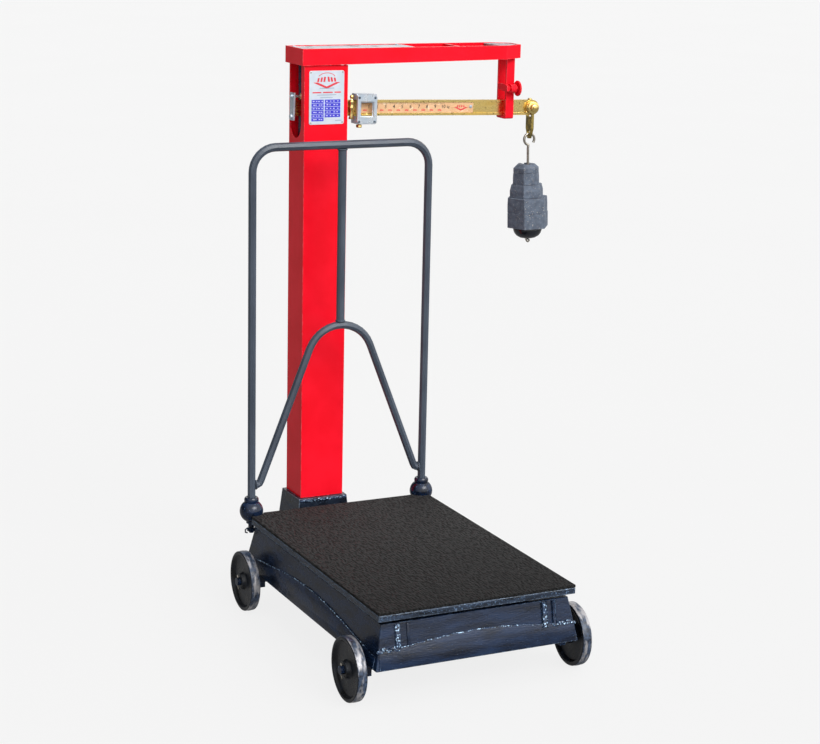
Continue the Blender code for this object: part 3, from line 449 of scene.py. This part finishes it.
# Two coats of enamel flowed over the turned castings: blue-black, with a wet highlight
# and a few pale scuffs.
BALL_ENAMEL = surface("wet black enamel", "060C18", "122440", 16, (0.08, 0.2), 3.0, 0.3,
                      coat=0.3, shine=0.3, specks_and_glints=("6E8AB0", 2.0, 0.3))
for word, side in (("left", -1), ("right", 1)):
    shape = bmesh.new()
    turned(shape, SOCKET_SECTION, 56)
    turned(shape, [(0, 138), (4.6, 138), (5, 139), (5, 152.5), (0, 152.5)], 20)
    turned(shape, [(0, 141.6), (8.6, 141.6), (9.4, 142.6), (9.4, 148), (8.6, 149),
                   (0, 149)], 6)
    if side < 0:
        wire(shape, [(-4, -3, 147.5), (-11, -4, 149.0), (-15, -4, 146.0), (-14.5, -4, 141.0),
                     (-10, -3, 139.0)], 1.5, 8)
    bmesh.ops.translate(shape, vec=(side * SOCKET_X, RAIL_Y, 0), verts=shape.verts)
    socket = new_piece(f"rail_ball_{word}", shape, BALL_ENAMEL, "platform", sharp=40)
    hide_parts(f"rail_socket_{word}")

# ---- guard rail ------------------------------------------------------------------------
# One steel tube bent into a tall hoop, an upside-down V welded inside it and an upright
# between the two, all in satin slate-grey paint with small weld beads at the joints.

# Air-dried paint on drawn tube: an even satin grey, a little lighter in long soft runs.
RAIL_PAINT = surface("slate grey rail paint", "3B434F", "454E5B", 34, (0.3, 0.5), 2.4,
                     0.12, brushed=(1, 1, 0.4), coat=0.1, shine=0.4)
for name in ("guard_rail", "rail_brace", "rail_centre_bar"):
    dress(name, RAIL_PAINT)
shape = bmesh.new()
BEADS = [((-182.6, 238), "X", 8.2), ((182.6, 238), "X", 8.2), ((0, 564.4), "Z", 8.4),
         ((0, 912.4), "Z", 8.4)]
for (x, z), axis, radius in BEADS:
    ring = [(radius + 1.9 * math.cos(a), 1.7 * math.sin(a))
            for a in [math.tau * i / 10 for i in range(10)]]
    turned(shape, ring, 40, axis, (x, RAIL_Y, z), closed=True)
for i, vert in enumerate(shape.verts):
    vert.co += Vector((0.35 * math.sin(i * 1.7), 0.35 * math.cos(i * 2.3), 0))
new_piece("rail_weld_beads", shape, RAIL_PAINT, "platform")

# ---- column foot -----------------------------------------------------------------------
# A hollow cast shoe with an arm to the base, in the same brushed enamel. The pale
# blue-white flecks along its top lip and edges are painted highlights.

# Enamel brushed on the rough shoe: glossy where it pooled, with painted highlights along the
# lip.
FOOT_ENAMEL = surface("foot enamel, painted highlights at the lip", "0B0F16", "1C2738", 22,
                      (0.18, 0.42), 2.8, 0.5, brushed=(0.6, 0.6, 1.4), coat=0.12, shine=0.3,
                      edge_wear_and_highlight=("9DB0C6", 2.6, 0.3), specks_and_glints=("64768E", 2.6, 0.33))
dress("column_foot", FOOT_ENAMEL, 1.6)
LIP_LEFT, LIP_Y, LIP_Z, BLOBS, BLOB_STEP = -47, 396.6, 165.2, 11, 9.4
# a row of lumps along the lip in the seam enamel, whose pale flecks are painted glints
shape = bmesh.new()
for i in range(BLOBS):
    blob = bmesh.ops.create_icosphere(shape, subdivisions=2, radius=4.0)["verts"]
    bmesh.ops.scale(shape, vec=(1.5, 0.6, 0.7 + 0.15 * (i % 3)), verts=blob)
    bmesh.ops.translate(shape, vec=(LIP_LEFT + i * BLOB_STEP, LIP_Y, LIP_Z), verts=blob)
new_piece("foot_lip_weld", shape, SEAM, "scale_stand")

# ---- column ----------------------------------------------------------------------------
# Sheet steel folded into a channel, with a round-ended window cut in each side at the
# beam's height. A flat cover held by eight screws closes the back.

# Enamel stoved on smooth sheet: a deep even red with a soft gloss. The pale colour
# along the folds is a painted highlight.
RED = surface("glossy red enamel", "F7182C", "EE1124", 70, (0.14, 0.24), 6.0, 0.05,
              shine=0.11, edge_wear_and_highlight=("FF8C94", 1.3, 0.25))
dress("column_shell", RED, 1.1, 3)
dress("column_back_cover", RED, 0.6)

BACK_FACE = 485.8
shape = bmesh.new()
for x in (-38, 38):
    for z in (190, 480, 770, 1050):
        turned(shape, [(0, 1.0), (3.9, 1.0), (3.9, -0.6), (3.0, -1.6), (0, -2.0)], 20, "Y",
               (x, BACK_FACE, z))
# Electroplated zinc: cold blue-white metal in cloudy patches, with fine dark specks.
ZINC = surface("bright zinc plating", "E6EEF5", "BFCDDB", 22, (0.2, 0.4), 1.6, 0.05,
               metal=0.75, edge_wear_and_highlight=("F0F5FA", 0.8, 0.1), specks_and_glints=("6F8397", 3.2, 0.3))
new_piece("back_cover_screws", shape, ZINC, "scale_stand")

# a flat black strap inside the column, which shows through the window; it also stands for the
# column's dark inside there, a painted shade
shape = bmesh.new()
bar(shape, (-38, 446, 900), (-35, 460, 1068))
soften(shape, 0.6)
new_piece("window_strap_and_shade", shape, ENAMEL, "scale_stand")

# ---- nameplate -------------------------------------------------------------------------
# A thin printed aluminium plate with rounded corners, held by four small rivets. Only
# plain shapes are printed: a red winged badge, thin rules and two columns of blue bars.

# Rolled aluminium, etched before printing: cool pale grey with a soft even sheen.
SILVER = surface("satin printed aluminium", "DDE5EE", "CBD6E2", 30, (0.28, 0.4), 1.0, 0.02,
                 metal=0.35)
PLATE_X = (-37.5, 39.0)
PLATE_Z = (952.5, 1060.5)
PLATE_Y, PLATE_THICK, CORNER, RIVET_INSET = 404.0, 0.8, 4, 3.6
shape = bmesh.new()
corners = []
for end_x, end_z, start in ((1, 1, 0), (0, 1, 90), (0, 0, 180), (1, 0, 270)):
    cx = PLATE_X[end_x] + (-CORNER if end_x else CORNER)
    cz = PLATE_Z[end_z] + (-CORNER if end_z else CORNER)
    for i in range(7):
        a = math.radians(start + 15 * i)
        corners.append((cx + CORNER * math.cos(a), PLATE_Y + PLATE_THICK,
                        cz + CORNER * math.sin(a)))
plate(shape, corners, (0, -PLATE_THICK, 0))
soften(shape, 0.2, 1, 60)
badge_plate = new_piece("printed_plate", shape, SILVER, "scale_stand")
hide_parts("nameplate")

shape = bmesh.new()
for x in (PLATE_X[0] + RIVET_INSET, PLATE_X[1] - RIVET_INSET):
    for z in (PLATE_Z[0] + RIVET_INSET, PLATE_Z[1] - RIVET_INSET):
        turned(shape, [(0, -0.4), (1.7, -0.4), (1.6, 0.3), (1.0, 0.9), (0, 1.1)], 16, "Y",
               (x, PLATE_Y, z))
new_piece("plate_rivets", shape, STEEL, "scale_stand")


def ink(name, main, second):
    """Ink pressed through a screen: a flat colour, a little cloudy, with a soft gloss."""
    return surface(name, main, second, 6, (0.35, 0.5), 0.8, 0.01)


def flat_print(shape, outline, depth, y):
    """Add one printed patch: an outline of (x, z) pairs on a plane facing the reader."""
    plate(shape, [(x, y, z) for x, z in outline], (0, -depth, 0))


def strip_of(x0, x1, z0, z1):
    return [(x0, z0), (x1, z0), (x1, z1), (x0, z1)]


INK_THICK, OVERPRINT = 0.12, 0.2
RED_INK = ink("red screen ink", "E03342", "D42A3A")
BLUE_INK = ink("blue screen ink", "2B2BC4", "3A3ACF")
shape = bmesh.new()
middle, top = 0.75, 1047.0
flat_print(shape, [(middle - 30, top - 10), (middle, top - 23), (middle + 30, top - 10),
                   (middle + 20, top - 10), (middle, top - 18.5), (middle - 20, top - 10)],
           INK_THICK, PLATE_Y)
for i, (x, tall) in enumerate(((-19, 8), (-12, 9), (-5.4, 10), (5.4, 10), (12, 9), (19, 8))):
    slant = 1.8 if i < 3 else -1.8
    flat_print(shape, [(middle + x - 2.4, top - 9), (middle + x + 1.6, top - 9),
                       (middle + x + 1.6 + slant, top - 9 + tall),
                       (middle + x - 2.4 + slant, top - 9 + tall)], INK_THICK, PLATE_Y)
arch = [(middle + 20 * math.cos(a), top - 3 + 12.5 * math.sin(a))
        for a in [math.radians(25 + 130 * i / 16) for i in range(17)]]
inner = [(middle + 18.6 * math.cos(a), top - 3 + 11.3 * math.sin(a))
         for a in [math.radians(155 - 130 * i / 16) for i in range(17)]]
flat_print(shape, arch + inner, INK_THICK, PLATE_Y)
for x0, x1 in ((-31, -12), (-8, 13), (17, 31)):
    flat_print(shape, strip_of(middle + x0, middle + x1, 1015.6, 1018.0), INK_THICK,
               PLATE_Y)
new_piece("plate_red_print", shape, RED_INK, "scale_stand")

# two tables: left edge, right edge and number of rows
TABLES = ((-32.3, -5.7, 6), (-3.3, 30.9, 5))
ROW, ROW_TOP, ROW_TALL = 7.3, 1002.4, 6.5
shape = bmesh.new()
for x0, x1, rows in TABLES:
    for row in range(rows):
        z1 = ROW_TOP - row * ROW
        flat_print(shape, strip_of(x0, x1, z1 - ROW_TALL, z1), INK_THICK, PLATE_Y)
new_piece("plate_blue_print", shape, BLUE_INK, "scale_stand")

GREY_INK = ink("grey-blue screen ink", "7E93AE", "8FA2BA")
WHITE_INK = ink("white screen ink", "EDEFF6", "E2E5EE")
shape = bmesh.new()
for x0, x1, z in ((-15, 17, 1024.6), (-20, 22, 1011.2), (-13, 14, 1006.0), (20, 34, 959.5)):
    flat_print(shape, strip_of(x0, x1, z, z + 1.1), INK_THICK, PLATE_Y)
new_piece("plate_grey_rules", shape, GREY_INK, "scale_stand")
shape = bmesh.new()
for x0, x1, rows in TABLES:
    for row in range(rows):
        z1 = ROW_TOP - row * ROW
        for i, wide in enumerate((4.0, 2.6, 3.4, 3.0)):
            start = x0 + 2.6 + i * (x1 - x0) / 4.4 + 1.2 * ((row + i) % 2)
            flat_print(shape, strip_of(start, start + wide, z1 - 3.9, z1 - 2.5), OVERPRINT,
                       PLATE_Y)
new_piece("plate_white_marks", shape, WHITE_INK, "scale_stand")

# ---- head ------------------------------------------------------------------------------
# A long open frame of bent strip over the beam, in the red enamel. A plated cover lies
# over its left half, a thin cross bar divides the bays and a primed plate ends it.
dress("head_frame", RED, 0.9)
# Steel sheet plated over its rolled skin: bright metal, with long cloudy streaks and
# broad grey smears.
COVER = surface("plated cover sheet", "E4EEF6", "A9B9C8", 55, (0.14, 0.34), 6.0, 0.12,
                brushed=(0.4, 1, 1), metal=1.0, specks_and_glints=("74808C", 26.0, 0.42))
dress("head_cover_plate", COVER, 0.5)
# Primer brushed on thin and left unpainted: a dull, chalky, pinkish grey with pale dabs.
PRIMER = surface("dull grey primer", "B4A8AD", "958D92", 16, (0.45, 0.7), 2.0, 0.08,
                 specks_and_glints=("D9C9CE", 5.0, 0.4))
dress("head_end_plate", PRIMER, 0.5)
dress("fulcrum_hanger", ENAMEL, 0.6)
shape = bmesh.new()
for x, y in ((-40, 412), (-40, 479), (190, 412), (190, 479)):
    turned(shape, [(0, 1103.0), (4.2, 1103.0), (4.2, 1103.8), (3.2, 1104.6), (0, 1104.9)],
           20, "Z", (x, y, 0))
new_piece("cover_screws", shape, ZINC, "scale_stand")

# ---- trig loop and beam lock -----------------------------------------------------------
# A flat bar bent into a U stops the beam's end. A small finger on a shaft through its
# front bar swings down to hold the beam still; a round thumb plate turns it.
for name, width in (("trig_loop", 1.0), ("lock_lug", 0.8), ("lock_lever", 0.5)):
    dress(name, RED, width)

# ---- beam ------------------------------------------------------------------------------
# A cast brass bar with machined ribs above and below a sunk web, polished, and gone a
# little brown in the corners. An enamelled strip with the dial numbers is let into it.

# the beam turns on its fulcrum knife and rests on its lower stop, a little nose down
FULCRUM, REST_TILT = (32.0, 444.4, 981.0), 1.44
BEAM = (STAND @ Matrix.Translation(FULCRUM)
        @ Matrix.Rotation(math.radians(REST_TILT), 4, "Y"))
# Cast brass, machined and polished: warm yellow metal with marks drawn out along the
# beam, brighter edges and brown specks.
BRASS = surface("polished brass, slightly browned", "F6DC92", "E2C06C", 22, (0.18, 0.36),
                1.2, 0.05, brushed=(0.2, 1, 1), metal=1.0, edge_wear_and_highlight=("FBEBB4", 0.7, 0.1),
                specks_and_glints=("A5864A", 5.0, 0.36))
# Enamel fired on a thin strip: smooth pale peach with lighter clouds and a soft shine.
STRIP = surface("peach enamelled strip", "E4B98E", "DDAE80", 18, (0.3, 0.45), 1.2, 0.02,
                specks_and_glints=("F0D2AE", 9.0, 0.36))
dress("beam", BRASS, 0.5)
dress("scale_strip", STRIP, 0.15, 1)
for name in ("fulcrum_knife", "load_knife"):
    dress(name, STEEL, 0.15, 1)

STRIP_FACE, DIAL_INK = -4.2, 0.08
STEP, ZERO_MARK = 19.06, 61.5
TICK_TOP, MARK_FOOT = 9.8, -6.4
BLACK_INK = ink("black dial ink", "26211C", "352E26")


def numeral(shape, text, x, z, size, y):
    """Add a printed number, cut from a plain typeface as a thin raised mesh."""
    line = bpy.data.curves.new("dial_number", "FONT")
    line.body = text
    line.size = size
    line.align_x = "CENTER"
    line.extrude = 0.05
    line.offset = 0.012 * size
    line.resolution_u = 2
    holder = bpy.data.objects.new("dial_number", line)
    bpy.context.scene.collection.objects.link(holder)
    mesh = bpy.data.meshes.new_from_object(holder)
    bpy.data.objects.remove(holder)
    stand_up = Matrix.Translation((x, y, z)) @ Matrix.Rotation(math.pi / 2, 4, "X")
    mesh.transform(stand_up)
    shape.from_mesh(mesh)


shape = bmesh.new()
for i in range(11):
    numeral(shape, str(i), ZERO_MARK + i * STEP - 1.5, -1.0, 10.0, STRIP_FACE - 0.06)
numeral(shape, "kg", ZERO_MARK + 10 * STEP + 10, -0.6, 7.0, STRIP_FACE - 0.06)
for i in range(101):
    x = ZERO_MARK + i * STEP / 10
    tall = 4.6 if i % 10 == 0 else 3.2 if i % 5 == 0 else 2.1
    flat_print(shape, strip_of(x - 0.22, x + 0.22, TICK_TOP - tall, TICK_TOP), DIAL_INK,
               STRIP_FACE)
new_piece("dial_numbers", shape, BLACK_INK, "steelyard", BEAM)

shape = bmesh.new()
for i in range(10):
    for along, tall, wide in ((0.32, 2.8, 2.4), (0.46, 3.4, 1.6), (0.6, 2.6, 2.8)):
        x = ZERO_MARK + (i + along) * STEP
        flat_print(shape, strip_of(x - wide / 2, x + wide / 2, MARK_FOOT, MARK_FOOT + tall),
                   DIAL_INK, STRIP_FACE)
middle, low = 292.0, -6.5
flat_print(shape, [(middle - 17, low + 7.5), (middle, low), (middle + 17, low + 7.5),
                   (middle + 10, low + 7.5), (middle, low + 3), (middle - 10, low + 7.5)],
           DIAL_INK, STRIP_FACE)
for x in (-9, -4.5, 0.5, 5.5):
    flat_print(shape, strip_of(middle + x, middle + x + 2.6, low + 7.0, low + 11.5), DIAL_INK,
               STRIP_FACE)
new_piece("dial_red_marks", shape, RED_INK, "steelyard", BEAM)

# ---- beam's end: pin, collar and screws ------------------------------------------------
# The beam ends in a round eye. A headed brass pin passes through it, with a collar in
# front and small set screws.
dress("tip_pin", BRASS, 0.4)
TIP_X = 461
shape = bmesh.new()
turned(shape, [(0, 5.0), (12.2, 5.0), (13.4, 6.2), (13.4, 8.0), (12.0, 9.0), (0, 9.0)], 40,
       "Y", (TIP_X, 0, 0))
turned(shape, [(0, -1), (4.6, -1), (4.6, 2.2), (3.4, 3.6), (0, 4.2)], 24, "Z",
       (TIP_X - 3, -1.0, 15.6))
turned(shape, [(0, -1), (3.0, -1), (3.0, 2.0), (0, 2.6)], 20, "Y",
       (TIP_X - 11, -5.4, -10.6))
turned(shape, [(0, 13.0), (12.4, 13.0), (13.2, 13.5), (13.2, 14.6), (12.2, 15.2), (0, 15.2)],
       40, "Y", (TIP_X, 0, 0))
turned(shape, [(0, 15), (8.2, 15), (8.4, 18.4), (7.4, 20.4), (4.6, 21.6), (0, 22.0)], 32,
       "Y", (TIP_X, 0, 0))
soften(shape, 0.3, 2, 40)
new_piece("beam_end_collar", shape, BRASS, "steelyard", BEAM)

shape = bmesh.new()
for x, z in ((315.0, 2.0), (54.5, 0.0)):
    turned(shape, [(0, -1), (3.6, -1), (3.6, 0.8), (2.8, 1.7), (0, 2.0)], 24, "Y",
           (x, -3.6, z))
new_piece("strip_screws", shape, ZINC, "steelyard", BEAM)

# ---- zero stop, butt plate and balance nut ---------------------------------------------
# A cast ornamental stop with a ball on top marks the beam's zero. At the butt a plated
# block is held by two screws, and a brass nut runs on a rod for the fine balance.
STOP_X, STOP_Y, STOP_FLATNESS = 38.4, -8.6, 0.62
shape = bmesh.new()
turned(shape, [(0, 17), (3.2, 17), (2.2, 18.6), (3.4, 19.4), (4.6, 22), (4.6, 24), (3.2, 26.6),
               (0, 27.6)], 28, "Z", (STOP_X, STOP_Y, 0))
turned(shape, [(0, -22.4), (5.2, -22.4), (6.2, -21), (4.2, -16.5), (5.6, -12), (3.4, -6),
               (5.6, -1.5), (6.4, 1.5), (4.0, 5.5), (5.2, 10), (6.4, 13.5), (4.2, 17),
               (0, 17.4)], 28, "Z", (STOP_X, STOP_Y, 0))
bmesh.ops.scale(shape, vec=(1, STOP_FLATNESS, 1), verts=shape.verts,
                space=Matrix.Translation((0, -STOP_Y, 0)))
stop = new_piece("ornamental_stop", shape, BRASS, "steelyard", BEAM, 50)
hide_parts("zero_stop")

dress("butt_plate", ZINC, 0.8)
dress("balance_screw", ZINC, 0.3)
BUTT_X, NUT_X, ROD_Z, LOWER_Z = -90.9, -66.5, 23.1, -17.5
shape = bmesh.new()
for z in (ROD_Z, LOWER_Z):
    turned(shape, [(0, 1), (5.4, 1), (5.6, -0.4), (4.6, -3.0), (0, -3.6)], 28, "X",
           (BUTT_X, 0, z))
new_piece("butt_screws", shape, ZINC, "steelyard", BEAM)

shape = bmesh.new()
KNURLS, KNURL_DEPTH = 28, 0.05
profile = [(3.1, -5), (5.4, -5), (6.3, -4), (6.3, 4), (5.4, 5), (3.1, 5)]
turned(shape, profile, KNURLS * 2, "X", closed=True)
for vert in shape.verts:
    around = math.atan2(vert.co.z, vert.co.y) * KNURLS
    away = math.hypot(vert.co.y, vert.co.z)
    if away > 6:
        shrink = 1 - KNURL_DEPTH * (0.5 + 0.5 * math.cos(around))
        vert.co.y *= shrink
        vert.co.z *= shrink
bmesh.ops.translate(shape, vec=(NUT_X, 0, ROD_Z), verts=shape.verts)
nut = new_piece("knurled_balance_nut", shape, BRASS, "balance", BEAM, 20)
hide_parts("balance_nut")

# ---- poise -----------------------------------------------------------------------------
# The sliding weight is a zinc-plated casting: a thick frame with a stepped window in
# front of the dial, four screws, and a brass pointer at the window's foot.
POISE_X = 46.2
WIDE, LOW, HIGH = 45.0, -32.0, 29.0
BACK, SHOULDER, FRONT = -15.0, -19.0, -20.0
RIM = [(0, LOW + 4), (4, LOW), (WIDE - 3, LOW), (WIDE, LOW + 3), (WIDE, HIGH - 6),
       (WIDE - 6, HIGH), (3, HIGH), (0, HIGH - 3)]


def window_loop(x0, x1, z0, z1, cut):
    """The outline of a window with its corners cut off."""
    return [(x0, z0 + cut), (x0 + cut, z0), (x1 - cut, z0), (x1, z0 + cut), (x1, z1 - cut),
            (x1 - cut, z1), (x0 + cut, z1), (x0, z1 - cut)]


# round the frame's section: up its rim, over its face and down the window's steps
LOOPS = [(RIM, BACK), (RIM, SHOULDER), ([(x * 0.965 + 0.8, z * 0.965) for x, z in RIM], FRONT),
         (window_loop(6.6, 38.0, -18.6, 14.6, 1.6), FRONT),
         (window_loop(8.0, 36.8, -17.2, 13.2, 1.2), -17.6),
         (window_loop(9.6, 35.6, -15.8, 11.8, 1.0), -17.2),
         (window_loop(10.2, 35.0, -15.2, 11.2, 1.0), BACK)]
shape = bmesh.new()
rings = []
for loop, y in LOOPS:
    ring = [shape.verts.new((POISE_X + x, y, z)) for x, z in loop]
    for pair in zip(ring, ring[1:] + ring[:1]):
        shape.edges.new(pair)
    rings.append(ring)
bridge_rings(shape, rings + rings[:1])
poise = new_piece("poise_window_frame", shape, ZINC, "poise", BEAM, 30)
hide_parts("poise_frame")
dress("poise_body", ZINC, 0.8)

shape = bmesh.new()
for x in (4.6, WIDE - 5.2):
    for z in (LOW + 5.2, HIGH - 7.0):
        turned(shape, [(0, -0.6), (2.5, -0.6), (2.5, 0.5), (1.9, 1.1), (0, 1.3)], 20, "Y",
               (POISE_X + x, FRONT + 0.1, z))
# Turned steel screws, blued: dark blue-grey metal with fine marks.
SCREW_STEEL = surface("dark screw heads", "6E7D8C", "485563", 3, (0.25, 0.45), 0.8, 0.04,
                      metal=1.0)
new_piece("poise_screws", shape, SCREW_STEEL, "poise", BEAM)

shape = bmesh.new()
pointer = [(12, -15.0), (34, -15.0), (34, -13.0), (25.4, -12.4), (23.0, -7.6), (20.6, -12.4),
           (12, -13.0)]
plate(shape, [(POISE_X + x, -15.6, z) for x, z in pointer], (0, -1.2, 0))
soften(shape, 0.25)
new_piece("poise_pointer", shape, BRASS, "poise", BEAM)

shape = bmesh.new()
turned(shape, [(0, LOW - 9), (5.0, LOW - 9), (6.0, LOW - 8), (6.0, LOW - 3.2), (5.0, LOW - 2.5),
               (3, LOW - 2.5), (3, -17.4), (0, -17.4)], 48, "Z", (POISE_X + 14, 0, 0))
soften(shape, 0.2, 1, 50)
screw = new_piece("poise_thumb_screw", shape, BRASS, "clamp_screw", BEAM)
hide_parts("poise_screw")

# ---- shackle, hook and weights ---------------------------------------------------------
# A brass yoke hangs on the pin, darkened in olive-brown patches. The bent steel hook
# carries five slotted weights, rough castings in blue-grey paint, on a round black foot.

# Cast brass handled for years: olive-brown patches, with edges polished to yellow.
SHACKLE_BRASS = surface("handled brass, darkened", "C9AE5E", "8B8052", 12, (0.24, 0.45), 1.4,
                        0.06, metal=1.0, edge_wear_and_highlight=("F3DC92", 0.8, 0.2),
                        specks_and_glints=("5C5632", 4.0, 0.4))
dress("shackle", SHACKLE_BRASS, 0.5)
dress("weight_hook", STEEL)
# Iron cast in sand and dipped in thin paint: a matt, grainy blue-grey with pale worn rims.
# The grain is drawn at 1.8 mm, coarser than sand, so that it shows.
CAST = surface("blue-grey weight paint", "525A68", "656F7E", 9, (0.6, 0.85), 1.8, 0.6,
               shine=0.3, edge_wear_and_highlight=("959BA4", 1.4, 0.2), specks_and_glints=("B0AAA2", 2.6, 0.34))
for i in range(1, 6):
    dress(f"weight_{i}", CAST, 1.1)
# A turned iron foot dipped in gloss black: a smooth skin with soft highlights.
FOOT_BLACK = surface("black glossy foot", "0A0D13", "141B27", 12, (0.14, 0.3), 3.0, 0.15,
                     coat=0.3)
FOOT_TALL, STEM_LEAN = 28, -2
FOOT_SECTION = [(0, 0), (30.2, 0), (31.0, -1.2), (30.8, -6.5), (28.8, -12.5), (24.6, -18.2),
                (17.6, -22.4), (9.0, -24.4), (3.0, -24.8), (3.0, -FOOT_TALL), (0, -FOOT_TALL)]
low_corner, high_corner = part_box("weight_foot")
nub = Vector(((low_corner.x + high_corner.x) / 2, (low_corner.y + high_corner.y) / 2,
              low_corner.z)) / MM
HANG = Matrix.Scale(MM, 4)
shape = bmesh.new()
turned(shape, FOOT_SECTION, 56)
bmesh.ops.rotate(shape, cent=(0, 0, 0), verts=shape.verts,
                 matrix=Matrix.Rotation(math.radians(STEM_LEAN), 3, "Y"))
bmesh.ops.translate(shape, vec=nub + Vector((-0.5, 0, FOOT_TALL)), verts=shape.verts)
bowl = new_piece("bowl_foot", shape, FOOT_BLACK, "counterpoise", HANG, 50)
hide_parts("weight_foot")
shape = bmesh.new()
wire(shape, [(-2.5, 0, 4.5), (-3.0, 0, 0.5), (-1.0, 0, -3.4), (2.0, 0, -5.0), (4.6, 0, -2.8),
             (4.0, 0, 0.2)], 1.9, 12)
bmesh.ops.translate(shape, vec=nub, verts=shape.verts)
new_piece("stem_end", shape, STEEL, "counterpoise", HANG)

# ---- levers and draft rod --------------------------------------------------------------
# Under the deck two forked cast levers lie on hardened knives, linked in the middle; a
# long rod in the column hangs the long lever's nose from the beam.
for name in ("lever_bearer_front", "lever_bearer_rear", "long_lever", "short_lever",
             "draft_rod", "load_stirrup"):
    dress(name, ENAMEL, 0.8)
for name in ("long_fulcrum_knife", "long_load_knife", "short_fulcrum_knife",
             "short_load_knife", "lever_link"):
    dress(name, STEEL, 0.3, 1)

# ---- studio ----------------------------------------------------------------------------
# A plain pale floor that runs out of sight, broad soft light from the front, a fainter
# glow from behind, one softbox high up and a weak sun for the shadows' edges.

# Matt floor paint: pale and even, with no grain that shows. It glows a little, and more
# to direct view, so that it looks evenly lit and is not thrown back on the castings.
FLOOR = surface("pale studio floor", "444444", "434343", 900, (0.9, 0.95), 40, 0.02,
                shine=0.1)
FLOOR_BOUNCED, FLOOR_SEEN, BACKDROP_SEEN = 0.24, 0.83, 0.91
tree = FLOOR.node_tree
lit = tree.nodes["Principled BSDF"].inputs
lit["Emission Color"].default_value = (1.0, 1.0, 1.0, 1.0)
seen = add_node(tree, "LightPath", {}, "Is Camera Ray")
glow = add_node(tree, "MapRange", {"Value": seen, "To Min": FLOOR_BOUNCED,
                                   "To Max": FLOOR_SEEN})
tree.links.new(glow, lit["Emission Strength"])
shape = bmesh.new()
bmesh.ops.create_grid(shape, x_segments=8, y_segments=8, size=60.0)
mesh = bpy.data.meshes.new("studio_floor")
shape.to_mesh(mesh)
shape.free()
mesh.materials.append(FLOOR)
floor = bpy.data.objects.new("studio_floor", mesh)
bpy.context.scene.collection.objects.link(floor)

scene = bpy.context.scene
scene.view_settings.view_transform = "Standard"
world = bpy.data.worlds.new("soft studio")
scene.world = world
world.use_nodes = True
tree = world.node_tree
back = tree.nodes["Background"].inputs
# each glow: where it is, the cosines where it starts and is full, its levels at both
GLOWS = (((0.36, -0.80, 0.48), -0.3, 0.95, 0.08, 1.7),
         ((0.43, 0.87, 0.24), 0.86, 0.97, 0.0, 0.85),
         ((0.10, -0.78, 0.62), 0.97, 0.985, 0.0, 6.0))
direction = add_node(tree, "TexCoord", {}, "Generated")
lamps = 0.0
for towards, starts, full, dim, bright in GLOWS:
    facing = add_node(tree, "VectorMath", {0: direction, 1: towards}, "Value",
                      operation="DOT_PRODUCT")
    glow = add_node(tree, "MapRange", {"Value": facing, "From Min": starts, "From Max": full,
                                       "To Min": dim, "To Max": bright})
    lamps = add_node(tree, "Math", {0: lamps, 1: glow}, operation="ADD")
seen = add_node(tree, "LightPath", {}, "Is Camera Ray")
level = add_node(tree, "Mix", {0: seen, 2: lamps, 3: BACKDROP_SEEN}, data_type="FLOAT")
tree.links.new(level, back["Strength"])
back["Color"].default_value = (1.0, 1.0, 1.0, 1.0)

key = bpy.data.lights.new("key", "SUN")
key.energy = 0.8
key.angle = math.radians(25)
lamp = bpy.data.objects.new("key", key)
lamp.rotation_euler = Vector((-0.38, 0.72, -0.62)).to_track_quat("-Z", "Y").to_euler()
scene.collection.objects.link(lamp)

CAMERA_PLACE = (-1.79268, -3.46586, 1.43394)
YAW, PITCH, ROLL = (math.radians(angle) for angle in (-26.05, -13.54, 1.25))
ahead = Vector((-math.sin(YAW) * math.cos(PITCH), math.cos(YAW) * math.cos(PITCH),
                math.sin(PITCH)))
right = Vector((math.cos(YAW), math.sin(YAW), 0))
up = right.cross(ahead)
level_right = right * math.cos(ROLL) + up * math.sin(ROLL)
level_up = -right * math.sin(ROLL) + up * math.cos(ROLL)
lens = bpy.data.cameras.new("studio camera")
lens.lens = 89.52
lens.sensor_width = 36.0
camera = bpy.data.objects.new("studio camera", lens)
aim = Matrix((level_right, level_up, -ahead)).transposed().to_4x4()
camera.matrix_world = Matrix.Translation(CAMERA_PLACE) @ aim
scene.collection.objects.link(camera)
scene.camera = camera
